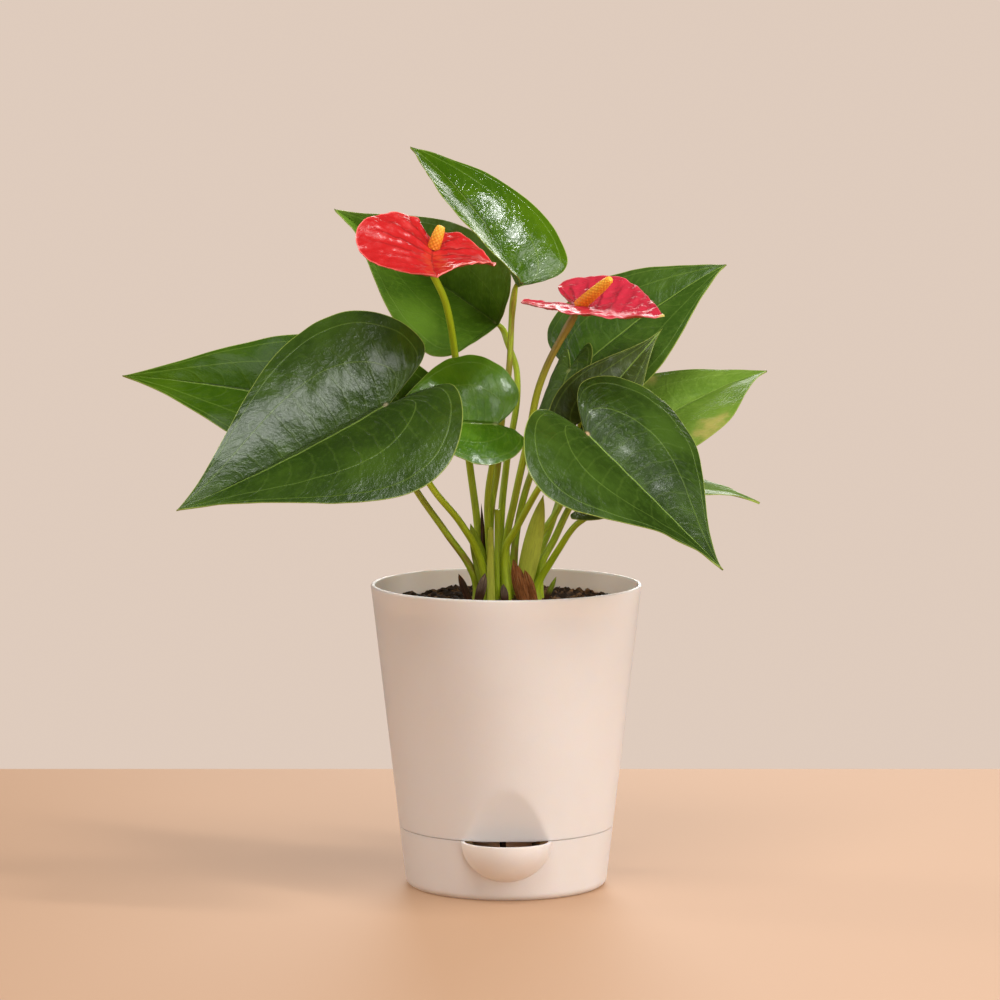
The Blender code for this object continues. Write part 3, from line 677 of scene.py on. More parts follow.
def smooth_path(knots, spacing):
    """Points along a smooth curve through the knots, about this far apart.

    A cubic's handles are its chord over the reach, which keeps its bend closest to a circle's.
    """
    reach = 2.5614
    tangents = []
    for i, knot in enumerate(knots):
        before = knot - knots[i - 1] if i else knots[1] - knot
        after = knots[i + 1] - knot if i + 1 < len(knots) else before
        way = before.normalized() + after.normalized()
        tangents.append((way.normalized(), before.length / reach, after.length / reach))
    points = [knots[0]]
    for i, (near, far) in enumerate(zip(knots, knots[1:])):
        first = near + tangents[i][0] * tangents[i][2]
        second = far - tangents[i + 1][0] * tangents[i + 1][1]
        count = max(3, round((far - near).length / spacing))
        points += [Vector(cubic(near, first, second, far, k / count)) for k in range(1, count + 1)]
    return points


def tube_mesh(path, radius, sides=16, dent=None):
    """A closed tube along a path. radius(share) is its radius; dent(share, angle) scales it."""
    points, place = [], []
    side = Vector((1, 0, 0))
    travelled = 0.0
    lengths = [(b - a).length for a, b in zip(path, path[1:])]
    total = sum(lengths)
    for i, centre in enumerate(path):
        way = (path[min(i + 1, len(path) - 1)] - path[max(i - 1, 0)]).normalized()
        side = (side - way * side.dot(way)).normalized()
        other = way.cross(side)
        for k in range(sides):
            angle = 2 * math.pi * k / sides
            r = radius(travelled / total) * (dent(travelled / total, angle) if dent else 1)
            points.append(centre + (side * math.cos(angle) + other * math.sin(angle)) * r)
            turn = abs(k / sides * 2 - 1)
            place.append((travelled / MM, turn * 6, travelled / total))
        if i < len(lengths):
            travelled += lengths[i]
    last = (len(path) - 1) * sides
    ends = [tuple(range(sides))[::-1], tuple(range(last, last + sides))]
    return mesh_from(points, ringed_faces(len(path) - 1, sides) + ends, {"stem_place": place})


# ---------------------------------------------------------------- the planter's and the soil's shape


def outer_radius(height):
    """The radius of the planter's outer wall at this height."""
    foot = looks("planter").foot / 2
    return foot + (RIM_RADIUS - foot) * height / RIM_HEIGHT


def scooped(radius, height, angle, inset):
    """The radius of a wall once the scoop's flat face, moved in by the inset, has cut it back softly."""
    look = looks("planter")
    ahead = -math.sin(angle)
    if ahead < 0.3:
        return radius
    slope = (outer_radius(look.scoop_top) - look.scoop_face) / (look.scoop_top - look.seam)
    face = (look.scoop_face - inset + slope * max(height - look.seam, 0)) / ahead
    overlap = max(look.scoop_edge - abs(radius - face), 0) / look.scoop_edge
    return min(radius, face) - overlap**2 * look.scoop_edge / 4


def arc(centre, radius, start, end, steps=6):
    """Points of an arc in the profile plane, from angle start to angle end in degrees."""
    angles = [math.radians(start + (end - start) * i / steps) for i in range(steps + 1)]
    return [(centre[0] + radius * math.cos(a), centre[1] + radius * math.sin(a)) for a in angles]


def wall_rows(top, foot, inset):
    """The rings of a wall that stands inside the outer one by the inset, closest together at the scoop."""
    scoop_end = looks("planter").scoop_top + 4 * MM
    heights = [*np.linspace(top, scoop_end, 10, endpoint=False), *np.linspace(scoop_end, foot, 35)]
    return [(outer_radius(height) - inset, height, inset) for height in heights]


def turned_mesh(profile, columns=256):
    """A closed solid of revolution from rings of (radius, height). A ring with an inset is scooped."""
    points, faces, starts = [], [], []
    for radius, height, *inset in profile:
        starts.append(len(points))
        if radius < 1e-6:
            points.append((0, 0, height))
            continue
        for k in range(columns):
            angle = 2 * math.pi * k / columns
            r = scooped(radius, height, angle, inset[0]) if inset else radius
            points.append((r * math.cos(angle), r * math.sin(angle), height))
    single = [radius < 1e-6 for radius, *_ in profile]
    for i, j in zip(range(len(profile)), [*range(1, len(profile)), 0]):
        for k in range(columns):
            n = (k + 1) % columns
            near = [starts[i]] if single[i] else [starts[i] + k, starts[i] + n]
            far = [starts[j]] if single[j] else [starts[j] + n, starts[j] + k]
            if len(near) + len(far) > 2:
                faces.append(near[::-1] + far[::-1])
    mesh = bpy.data.meshes.new("turned")
    mesh.from_pydata(points, [], faces)
    return outward(mesh)


def outward(mesh):
    """The mesh with its faces turned outwards."""
    with bmesh_of(mesh) as turned:
        bmesh.ops.recalc_face_normals(turned, faces=turned.faces)
    return mesh


def bowl_mesh(centre, half_sizes, rise):
    """The lower half of an ellipsoid, carried straight up by the rise and closed."""
    rings = [(math.cos(math.radians(a)), math.sin(math.radians(a))) for a in np.linspace(0, -90, 25)]
    profile = [(0, rise), (1, rise)] if rise else [(0, 0)]
    mesh = turned_mesh(profile + rings, columns=112)
    flat = Matrix.Diagonal((*half_sizes[:2], 1, 1))
    for vertex in mesh.vertices:
        x, y, z = flat @ vertex.co
        vertex.co = Vector(centre) + Vector((x, y, z if z > 0 else z * half_sizes[2]))
    return mesh


def cutters_mesh(blocks, pegs):
    """Boxes and upright round pegs in one mesh, each given by its size, its middle and its turn about Z."""
    mesh = bpy.data.meshes.new("cutters")
    round_peg = {"cap_ends": True, "segments": 32, "radius1": 0.5, "radius2": 0.5, "depth": 1}
    shapes = [(bmesh.ops.create_cube, {"size": 1}, block) for block in blocks]
    shapes += [(bmesh.ops.create_cone, round_peg, peg) for peg in pegs]
    with bmesh_of(mesh) as made:
        for create, words, (size, middle, turn) in shapes:
            place = Matrix.Rotation(turn, 4, "Z") @ Matrix.Translation(middle) @ Matrix.Diagonal((*size, 1))
            create(made, matrix=place, **words)
    return mesh


def ring_of(size, middle, count, first):
    """Cutters spaced evenly round the planter's axis, the first turned by this share of a step."""
    return [(size, middle, 2 * math.pi * (i + first) / count) for i in range(count)]


def carved(start, *steps):
    """The mesh once each (operation, other mesh) has been done to it in turn."""
    helpers = [bpy.data.objects.new("body", start)]
    for operation, other in steps:
        helper = bpy.data.objects.new("cutter", other)
        helpers.append(helper)
        modifier = helpers[0].modifiers.new(operation, "BOOLEAN")
        modifier.operation = operation
        modifier.solver = "EXACT"
        modifier.object = helper
    for helper in helpers:
        bpy.context.scene.collection.objects.link(helper)
    graph = bpy.context.evaluated_depsgraph_get()
    made = bpy.data.meshes.new_from_object(helpers[0].evaluated_get(graph))
    for helper in helpers:
        bpy.data.objects.remove(helper)
    return made


def shell_mesh():
    """The planter's upper part: wall, skirt, floor and wicking well."""
    look = looks("planter")
    wall, seam = look.wall, look.seam
    lip_foot = RIM_HEIGHT - LIP_ROUND
    skirt_foot = seam - SKIRT_DEPTH
    skirt = outer_radius(skirt_foot) - wall - FIT
    inside = skirt - SKIRT_WALL
    well_floor = WELL_DEPTH + WELL_WALL
    profile = arc((RIM_RADIUS - LIP_ROUND, lip_foot), LIP_ROUND, 90, 0)
    profile += wall_rows(lip_foot, seam, 0)[1:]
    profile += [(skirt, seam, FIT), (skirt, skirt_foot, FIT)]
    profile += [(inside, skirt_foot, FIT + SKIRT_WALL), (inside, seam, FIT + SKIRT_WALL)]
    profile += [(WELL_TOP, seam), (WELL_FOOT, WELL_DEPTH), (0, WELL_DEPTH), (0, well_floor)]
    profile += [(WELL_FOOT - WELL_WALL, well_floor), (WELL_TOP - WELL_WALL, seam + wall)]
    profile += wall_rows(lip_foot, seam + wall, wall)[::-1][:-1]
    profile += arc((RIM_RADIUS - wall + LIP_ROUND, lip_foot), LIP_ROUND, 180, 90)
    window_size = (look.spout_width + MM, WINDOW_REACH, SKIRT_DEPTH + wall)
    window = (window_size, (0, -WINDOW_MIDDLE, seam - SKIRT_DEPTH / 2 - SKIRT_WALL), 0)
    slots = ring_of(SLOT_SIZE, SLOT_MIDDLE, WELL_SLOTS, SLOT_TURN)
    drain_size = (DRAIN_WIDTH, DRAIN_WIDTH, 4 * wall)
    drains = ring_of(drain_size, (DRAIN_RING, 0, seam + wall / 2), DRAINS, DRAIN_TURN)
    return carved(turned_mesh(profile), ("DIFFERENCE", cutters_mesh([window, *slots], drains)))


def reservoir_mesh():
    """The water reservoir with the spout's bowl on its front."""
    look = looks("planter")
    wall = look.wall
    top = look.seam - look.seam_gap
    shoulder = top - 12 * MM
    foot_round = 3.5 * MM
    body = [(0, top), (outer_radius(top), top), (outer_radius(shoulder), shoulder)]
    body += arc((outer_radius(foot_round) - foot_round, foot_round), foot_round, 0, -90) + [(0, 0)]
    inner = outer_radius(top) - wall
    chamber = [(0, top + wall), (inner, top + wall), (inner, top)]
    chamber += arc((outer_radius(2 * wall) - 2 * wall, 2 * wall), wall, 0, -90) + [(0, wall)]
    centre = (0, -look.scoop_face, top)
    outer = Vector((look.spout_width / 2, look.spout_reach, look.spout_depth))
    hollow = outer - Vector((SPOUT_WALL, SPOUT_WALL, SPOUT_WALL))
    return carved(
        turned_mesh(body),
        ("UNION", bowl_mesh(centre, outer, 0)),
        ("DIFFERENCE", turned_mesh(chamber)),
        ("DIFFERENCE", bowl_mesh(centre, hollow, wall)),
    )


def soil_height(x, y):
    """How far the soil's lumps stand above its mean level."""
    look = looks("soil")
    broad = rough(x * 60, y * 60, 0)
    lumps = rough(x * 190, y * 190, 1.9)
    grit = rough(x * 620, y * 620, 12.4)
    return look.lumps * (0.6 * broad + 0.9 * abs(lumps) + 0.30 * grit)


def soil_mesh():
    """The potting mix, which fills the shell and its well and is lumpy on top."""
    look = looks("planter")
    clear = look.wall + FIT
    rim = outer_radius(SOIL_TOP) - clear
    floor_top = look.seam + clear
    well_clear = WELL_WALL + FIT
    well_floor = WELL_DEPTH + well_clear
    profile = [(rim * i / 60, SOIL_TOP) for i in range(61)]
    profile += wall_rows(SOIL_TOP - 2 * MM, floor_top, clear)
    profile += [(WELL_TOP - well_clear, floor_top), (WELL_FOOT - well_clear, well_floor), (0, well_floor)]
    mesh = turned_mesh(profile)
    for vertex in mesh.vertices:
        if vertex.co.z > SOIL_TOP - MM:
            vertex.co.z += soil_height(*vertex.co.xy)
    return mesh


def crumbs_mesh(count, rim):
    """Loose crumbs and short fibres of potting mix, scattered over the soil and thicker beside the wall."""
    dice = random.Random(5)
    mesh = bpy.data.meshes.new("crumbs")
    with bmesh_of(mesh) as made:
        for i in range(count):
            angle = dice.uniform(0, 2 * math.pi)
            away = rim * dice.uniform(0.30, 0.97) ** 0.6
            size = MM * (0.45 + 1.3 * dice.random() ** 3)
            spot = Vector((away * math.cos(angle), away * math.sin(angle), 0))
            spot.z = SOIL_TOP + soil_height(*spot.xy) + size * 0.35
            long = dice.uniform(3.0, 6.0) if i % 6 == 0 else dice.uniform(0.9, 1.5)
            turn = Matrix.Rotation(dice.uniform(0, 6.3), 4, "Z")
            tilt = Matrix.Rotation(dice.uniform(-0.5, 0.5), 4, "Y")
            shape = Matrix.Diagonal((size * long**0.6, size / long**0.45, size / long**0.45, 1))
            crumb = bmesh.ops.create_icosphere(made, subdivisions=1, radius=1)["verts"]
            for vertex in crumb:
                vertex.co *= 1 + 0.45 * noise.noise(vertex.co * 1.4 + Vector((i, 0, 0)))
            bmesh.ops.transform(made, matrix=Matrix.Translation(spot) @ turn @ tilt @ shape, verts=crumb)
    return mesh


def crown_mesh():
    """The matted mound that the stems grow from."""
    low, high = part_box("crown")
    tall = high.z - low.z
    angles = [math.radians(a) for a in range(4, 90, 4)]
    rows = [(math.cos(a) ** 0.6, low.z + tall * math.sin(a)) for a in angles]
    mesh = turned_mesh([(1, low.z), *rows, (0, high.z), (0, low.z)], columns=160)
    for vertex in mesh.vertices:
        x, y, z = vertex.co
        lump = rough(x * 5, y * 5, z * 300) + 0.6 * rough(x * 14, y * 14, z * 300)
        lift = 1.3 * MM * (lump - 0.3) * (z - low.z) / tall
        vertex.co = Vector((x * high.x, y * high.y, z + lift))
    return mesh


def sheath_mesh(foot, tip, width, curl, bow, ragged, seed):
    """A thin narrow pointed scale, curled about its length and buckled, with its tip torn when ragged."""
    foot, tip = above_crown(foot), above_crown(tip)
    along = tip - foot
    across = along.cross(Vector((0, -1, 0))).normalized()
    face = across.cross(along).normalized()
    rows, columns = 44, 20
    thin = 0.22 * MM
    curl = math.radians(curl)
    points, place, faces = [], [], []
    for side in (1, -1):
        for i in range(rows + 1):
            share = i / rows
            half = width * MM / 2 * (0.75 + 0.5 * share) * max(1 - share**3, 0.03)
            for j in range(columns + 1):
                lane = 2 * j / columns - 1
                tear = ragged * 0.35 * (0.5 + rough(lane * 2.6, seed, 3))
                reach = share * (1 - tear * share)
                radius = half / curl
                buckle = 0.35 * MM * rough(share * 5, lane * 1.5, seed)
                spot = foot + along * reach + across * radius * math.sin(curl * lane)
                lift = radius * (math.cos(curl * lane) - 1) + bow * MM * math.sin(math.pi * share) + buckle
                points.append(spot + face * (lift + side * thin / 2))
                place.append((share * along.length / MM, lane * half / MM, share))
    wide = columns + 1
    count = wide * (rows + 1)
    for i in range(rows):
        for j in range(columns):
            a = i * wide + j
            front = (a, a + 1, a + wide + 1, a + wide)
            faces += [front, tuple(k + count for k in front[::-1])]
    right = [i * wide + columns for i in range(1, rows)]
    left = [i * wide for i in range(rows - 1, 0, -1)]
    edge = [*range(wide), *right, *range(count - 1, count - wide - 1, -1), *left]
    for a, b in zip(edge, edge[1:] + edge[:1]):
        faces.append((b, a, a + count, b + count))
    return outward(mesh_from(points, faces, {"stem_place": place}))


def above_crown(point):
    """A place from its millimetres right of, behind and above the middle of the crown's top."""
    return Vector((0, 0, CROWN_TOP)) + Vector(point) * MM


# ---------------------------------------------------------------- the plant's posture

# Each blade: where its stem ends, in millimetres from the middle of the crown's top, then its heading,
# pitch and roll in degrees and its length and width in millimetres.
LEAVES = {
    "left_front": Blade((-54, -48, 92), 190, -30, -41, 106, 118, fold=25, cup=35, droop=-13, twist=-5,
                        lobe=1.1, widest=0.05, fullness=0.26, lobe_spread=0.30),
    "left_back": Blade((-60, -12, 83), 182, 15, -54, 119, 77, droop=20, widest=0.13, fullness=0.31),
    "upper_left": Blade((-5, 30, 124), 144, 28, -66, 106, 83, fold=56, cup=20, droop=-3, twist=26,
                        lobe=0.25, lean=0.08, widest=0.12, lobe_spread=0.54),
    "top": Blade((5, 0, 144), 155, 62, -32, 91, 69, extra_fold=33, fold_gain=0.7, cup=29, droop=41,
                 lobe=0.15, lean=0.04, widest=0.15),
    "upper_right": Blade((33, 32, 101), -4, 43, 38, 86, 81, twist=6, lobe=0.15, widest=0.19, fullness=0.41),
    "right_back": Blade((63, 8, 75), 34, 27, 17, 79, 71, fold=17, cup=20, widest=0.12, fullness=0.29),
    "right_front": Blade((36, -48, 79), -20, -42, 21, 87, 110, fold=24, cup=37, droop=1,
                         lobe=0.91, lean=-0.06, widest=0.14, fullness=0.15, lobe_spread=0.38),
    "centre": Blade((-5, -21, 81), 191, 2, -47, 52, 66, fold=20, cup=26, droop=-12, twist=3,
                    lobe=0.9, lean=-0.17, widest=0.16, fullness=0.44, lobe_spread=0.40),
    "right_inner": Blade((36, -12, 83), 19, 47, 72, 57, 36, droop=11, widest=0.08, fullness=0.10),
    "low_right": Blade((40, -22, 46), 12, 17, 15, 82, 48, droop=40, lobe=0.7, widest=0.09, lobe_spread=0.48),
    "centre_back": Blade((29, 10, 103), 235, -52, 15, 60, 42, fold=4, cup=45, droop=20, lean=-0.4),
}

# Each leaf's greens, gloss and blush.
LEAF_TONES = {
    "left_front": dict(deep=(0.018, 0.046, 0.001), fresh=(0.036, 0.080, 0.003), gloss=0.33, sheen=0.38,
                       hub=(0.40, 0.36, 0.22)),
    "left_back": dict(deep=(0.030, 0.078, 0.001), fresh=(0.050, 0.110, 0.002), gloss=0.40, sheen=0.06),
    "upper_left": dict(deep=(0.060, 0.140, 0.007), fresh=(0.120, 0.245, 0.018), gloss=0.44),
    "top": dict(deep=(0.030, 0.080, 0.001), fresh=(0.060, 0.130, 0.002), gloss=0.10, sheen=0.26),
    "upper_right": dict(deep=(0.033, 0.080, 0.006), fresh=(0.065, 0.130, 0.014), gloss=0.34),
    "right_back": dict(deep=(0.095, 0.180, 0.014), fresh=(0.150, 0.250, 0.030), gloss=0.42,
                       blush=(0.42, 0.33, 0.10), blush_at=(7.5, 0.85)),
    "right_front": dict(deep=(0.016, 0.038, 0.002), fresh=(0.038, 0.080, 0.007), gloss=0.32, sheen=0.14,
                        hub=(0.46, 0.30, 0.16)),
    "centre": dict(deep=(0.045, 0.130, 0.002), fresh=(0.090, 0.205, 0.005), gloss=0.32, sheen=0.22),
    "right_inner": dict(deep=(0.036, 0.062, 0.008), fresh=(0.060, 0.095, 0.018), gloss=0.36),
    "low_right": dict(deep=(0.090, 0.150, 0.030), fresh=(0.120, 0.190, 0.040), gloss=0.42, sheen=0.06),
    "centre_back": dict(deep=(0.040, 0.090, 0.006), fresh=(0.075, 0.150, 0.012), gloss=0.42),
}

# The leaves whose stems are tanned brown.
TANNED = ("left_back", "top", "centre_back")

# Each petiole's foot on the crown, then the points that it passes, in millimetres above the crown.
PETIOLES = {
    "left_front": ((-9, -10), [(-12, -13, 19), (-20, -22, 35), (-35, -36, 56)]),
    "left_back": ((-13, -5), [(-15, -6, 11), (-28, -10, 31), (-41, -13, 50)]),
    "upper_left": ((-3, 10), [(-2, 12, 39), (0, 16, 58), (5, 23, 101), (1, 28, 114)]),
    "top": ((-7, 3), [(-7, 3, 38), (-4, 3, 59), (-2, 2, 81), (1, 1, 102)]),
    "upper_right": ((10, 9), [(13, 10, 13), (20, 14, 29), (25, 19, 44), (31, 28, 75)]),
    "right_back": ((15, 4), [(16, 5, 13), (22, 6, 25), (31, 7, 43), (43, 8, 58)]),
    "right_front": ((0, -11), [(0, -13, 24), (4, -17, 32), (10, -24, 44), (16, -32, 55)]),
    "centre": ((-6, -4), [(-8, -7, 27), (-8.5, -10, 46), (-6, -15, 65)]),
    "right_inner": ((7, 3), [(12, 3, 21), (24, 3, 40), (33, -2, 62)]),
    "low_right": ((14, -5), [(16, -6, 9), (20, -9, 16), (24, -13, 23), (31, -18, 34)]),
    "centre_back": ((3, 8), [(6, 10, 35), (14, 13, 62), (24, 13, 86)]),
}

SPATHES = {
    "left": Blade((-33, -43, 162), -90, -24, -21, 41, 65, lean=-0.12, fold=18, cup=26, droop=-20, twist=31,
                  lobe=1.87, widest=0.15, fullness=0.83, lobe_spread=0.30),
    "right": Blade((33, -20, 135), -29, -9, 10, 44, 66, fold=8, cup=-7, droop=-10,
                   lobe=1.75, widest=0.04, fullness=0.45, lobe_spread=0.51),
}
PEDUNCLES = {
    "left": ((-11, 0), [(-13, 0, 31), (-17, 2, 62), (-20, 3, 87), (-23, 2, 108), (-27, -15, 134)]),
    "right": ((1, -4), [(0, -5, 24), (4, -8, 46), (10, -12, 74), (16, -15, 101)]),
}
SPADICES = {"left": ((-0.3, 0.0), 11), "right": ((1.0, -0.1), 23)}

# A tube of young growth: its foot on the crown, its route above the crown, and its foot and top radii.
SHOOTS = {
    "new_shoot": ((-7, -15), [(-7.3, -15.5, 20), (-7, -16, 34)], (2.0, 1.35)),
    "cut_petiole_stub": ((-4, -9), [(-4, -9, 20), (-4, -9, 41)], (1.7, 1.35)),
}

# A thin scale or sheath: foot and tip above the crown, width, curl in degrees, bow and how ragged its tip is.
SHEATHS = {
    "green_sheath": ((-7.5, -10.5, 0.5), (-16.5, -10, 35), 11.0, 75, 2.0, 0.1),
    "dry_bract": ((-9.3, -4, 0.5), (-11.5, -6, 44), 3.2, 60, 0.6, 0.1),
    "unfurling_leaf": ((7, -8, 0.7), (17, -4, 47), 11.5, 50, 1.0, 0.0),
}
SCALES = {
    "cataphyll_front": ((8, -15, -1), (3, -17, 20), 8.0, 45, 0.8, 0.9),
    "cataphyll_right": ((12.5, -12, -1), (8, -13.5, 15), 6.0, 40, 0.6, 0.7),
    "cataphyll_pale": ((-0.5, -18, -1), (-1.5, -18.5, 8), 4.5, 40, 0.4, 0.3),
    "cataphyll_grey": ((-13, -16.5, -1), (-9.5, -19, 13), 6.0, 55, 1.2, 0.2),
    "cataphyll_left": ((-17, -11, -1), (-22, -13, 12), 4.5, 50, 0.6, 0.1),
    "cataphyll_sprig": ((18, -8, -1), (23, -9, 10), 3.2, 50, 0.5, 0.1),
}

# ---------------------------------------------------------------- operators


class ANTHURIUM_OT_planter(bpy.types.Operator):
    """The planter's shell and the water reservoir under it"""

    bl_idname = "anthurium.planter"
    bl_label = "Planter"

    def execute(self, context):
        ivory = ivory_finish()
        piece("planter_body", shell_mesh(), ivory, "ivory_plastic", "planter_shell", sharp=32)
        piece("reservoir_body", reservoir_mesh(), ivory, "ivory_plastic", "water_reservoir", sharp=32)
        return {"FINISHED"}


class ANTHURIUM_OT_potting_mix(bpy.types.Operator):
    """The potting mix with its loose crumbs, and the matted crown"""

    bl_idname = "anthurium.potting_mix"
    bl_label = "Potting mix"

    def execute(self, context):
        look = looks("soil")
        rim = outer_radius(SOIL_TOP) - looks("planter").wall - MM
        piece("soil", soil_mesh(), soil_finish(), "potting_mix", "potting_mix", sharp=70)
        crumbs, dry = crumbs_mesh(look.crumbs, rim), soil_finish("Dry crumbs", dry=0.08)
        piece("soil_crumbs", crumbs, dry, "potting_mix", "potting_mix", sharp=70)
        mound, matted = crown_mesh(), soil_finish("Matted fibres", dry=0.12)
        piece("matted_mound", mound, matted, "dry_scale", "crown", sharp=70)
        return {"FINISHED"}


class ANTHURIUM_OT_leaves(bpy.types.Operator):
    """The eleven leaves and their petioles"""

    bl_idname = "anthurium.leaves"
    bl_label = "Leaves"

    def execute(self, context):
        look = looks("leaf")
        green = stem_finish("Petiole green")
        tanned = stem_finish("Petiole tanned", flush_foot=0.7)
        for seed, (place, blade) in enumerate(LEAVES.items()):
            relief = leaf_relief(seed * 7.3, look.quilt, look.wave)
            mesh = blade.mesh(relief, look.thickness, look.rim_thickness, look.rib, 7, 22)
            finish = leaf_finish(f"Leaf {place}", **LEAF_TONES[place])
            piece(f"{place}_leaf", mesh, finish, "leaf", f"leaf_{place}")
            foot, via = PETIOLES[place]
            skin = tanned if place in TANNED else green
            stem_piece(f"{place}_petiole", f"petiole_{place}", foot, via, blade, (3.8, 2.6), skin)
        return {"FINISHED"}


def knots_from(foot, via):
    """The places that a stem passes, from below the crown's top upwards."""
    upright = [(*foot, -STEM_SINK), (*foot, STEM_RISE)]
    return [above_crown(point) for point in upright + via]


def stem_piece(name, node, foot, via, blade, diameters, material):
    """A stem from the crown to the underside of a blade, sheathed at its foot and swollen below the blade."""
    down = blade.turn @ Vector((0, 0, -1))
    away = (down - blade.turn @ Vector((0.5, 0, 0))).normalized()
    end = blade.spot + down * 0.5 * MM
    path = smooth_path([*knots_from(foot, via), end + away * 4 * MM, end], 1.6 * MM)
    foot_radius, top_radius = (d / 2 * MM for d in diameters)

    def radius(share):
        swell = 0.22 * math.exp(-(((share - 0.93) / 0.035) ** 2)) - 0.35 * max(share - 0.97, 0) / 0.03
        sheath = 0.55 * max(0.0, 1 - share / 0.24) ** 1.5
        return (foot_radius + (top_radius - foot_radius) * share) * (1 + swell + sheath)

    def dent(share, angle):
        return 1 - 0.10 * max(0.0, math.cos(angle)) ** 6 * (1 - share)

    return piece(name, tube_mesh(path, radius, dent=dent), material, "stem", node)


class ANTHURIUM_OT_flowers(bpy.types.Operator):
    """The two spathes with their spadices and stalks"""

    bl_idname = "anthurium.flowers"
    bl_label = "Flowers"

    def execute(self, context):
        look = looks("flower")
        finishes = {
            "left": spathe_finish("Scarlet spathe", look.scarlet[:], (0.80, 0.16, 0.14), (0.45, 0.03, 0.02)),
            "right": spathe_finish("Crimson spathe", look.crimson[:], (0.60, 0.12, 0.14), (0.50, 0.03, 0.02)),
        }
        stalks = {"left": stem_finish("Stalk green"), "right": stem_finish("Stalk russet", flush=0.5)}
        yellow = spadix_finish("Spadix")
        for seed, (side, blade) in enumerate(SPATHES.items()):
            relief = spathe_relief(40 + seed * 9, look.pleat, look.blister)
            mesh = blade.mesh(relief, 0.9 * MM, 0.4 * MM, 0.3 * MM, 9, 30)
            slot = "scarlet_spathe" if side == "left" else "crimson_spathe"
            piece(f"{side}_spathe", mesh, finishes[side], slot, f"spathe_{side}")
            foot, via = PEDUNCLES[side]
            stem_piece(f"{side}_peduncle", f"peduncle_{side}", foot, via, blade, (3.6, 3.2), stalks[side])
            lean, tall = SPADICES[side]
            mesh = spadix_mesh(blade, lean, tall * MM, look.floret)
            piece(f"{side}_spadix", mesh, yellow, "spadix", f"spadix_{side}", sharp=80)
        return {"FINISHED"}


def spadix_mesh(blade, lean, tall, floret):
    """A blunt spike whose skin is set with florets in crossing spirals."""
    rings, sides = 110, 72
    radius = 2.9 * MM
    turns = blade.turn @ Vector((lean[0], lean[1], 1)).normalized().to_track_quat("Z", "Y").to_matrix()
    foot = blade.spot + blade.turn @ Vector((0, 0, 0.2 * MM))
    points, place, knobs = [], [], []
    for i in range(rings + 1):
        share = i / rings
        height = tall * math.sin(share * math.pi / 2) ** 0.9
        outline = radius * (1 - 0.12 * share) * math.cos(share * math.pi / 2) ** 0.34 if share < 1 else 0
        for k in range(sides):
            angle = 2 * math.pi * k / sides
            spiral = angle * 8
            knob = abs(math.cos(spiral / 2 + height / MM * 1.5) * math.cos(spiral / 2 - height / MM * 1.5))
            out = outline + floret * (knob - 0.5) * min(1, outline / radius * 2)
            spot = Vector((out * math.cos(angle), out * math.sin(angle), height))
            points.append(foot + turns @ spot)
            place.append((height / MM, angle, height / tall))
            knobs.append((knob, 0, 0))
    faces = [*ringed_faces(rings, sides), tuple(range(sides))[::-1]]
    return mesh_from(points, faces, {"stem_place": place, "floret_height": knobs}, weld=2e-6)


class ANTHURIUM_OT_young_growth(bpy.types.Operator):
    """The new shoot, the unfurling leaf, a cut petiole, a sheath and a dry bract"""

    bl_idname = "anthurium.young_growth"
    bl_label = "Young growth"

    def execute(self, context):
        look = looks("soil")
        pale = papery_finish("Young growth", look.shoot[:], look.shoot_shade[:], dark=0.8)
        green = stem_finish("Shoot green")
        slots = {"new_shoot": "young_leaf", "cut_petiole_stub": "stem"}
        for node, (foot, via, radii) in SHOOTS.items():
            path = smooth_path(knots_from(foot, via), 1.0 * MM)
            mesh = tube_mesh(path, shoot_radius(radii, blunt=node == "new_shoot"))
            piece(f"{node}_stem", mesh, pale if node == "new_shoot" else green, slots[node], node)
        sheath = papery_finish("Green sheath", look.shoot_shade[:], look.shoot[:], dark=0.8)
        dry = papery_finish("Dry bract", look.umber[:], look.russet[:], foot=look.shoot_shade[:])
        leaf = papery_finish("Unfurling leaf", look.shoot[:], look.shoot_shade[:], dark=0.8)
        finishes = {
            "green_sheath": (sheath, "stem"),
            "dry_bract": (dry, "dry_scale"),
            "unfurling_leaf": (leaf, "young_leaf"),
        }
        for seed, (node, shape) in enumerate(SHEATHS.items()):
            piece(f"{node}_blade", sheath_mesh(*shape, seed=seed), *finishes[node], node)
        return {"FINISHED"}


def shoot_radius(radii, blunt):
    """The radius along a shoot, which ends in a round tip when blunt."""
    foot, top = (r * MM for r in radii)

    def radius(share):
        end = math.sqrt(max(1 - max(share - 0.94, 0) / 0.06, 0.02)) if blunt else 1
        return (foot + (top - foot) * share) * end

    return radius


class ANTHURIUM_OT_scales(bpy.types.Operator):
    """The papery scales round the foot of the stems"""

    bl_idname = "anthurium.scales"
    bl_label = "Papery scales"

    def execute(self, context):
        look = looks("soil")
        russet = papery_finish("Russet scale", look.russet[:], look.straw[:])
        grey = papery_finish("Grey scale", look.grey[:], look.straw[:], foot=look.umber[:])
        dark = papery_finish("Dark scale", look.umber[:], look.russet[:])
        green = papery_finish("Sprig", look.shoot_shade[:], look.straw[:], foot=look.umber[:])
        finishes = {
            "cataphyll_front": russet,
            "cataphyll_right": russet,
            "cataphyll_pale": grey,
            "cataphyll_grey": grey,
            "cataphyll_left": dark,
            "cataphyll_sprig": green,
        }
        for seed, (node, shape) in enumerate(SCALES.items()):
            piece(f"{node}_scale", sheath_mesh(*shape, seed=seed + 10), finishes[node], "dry_scale", node)
        return {"FINISHED"}


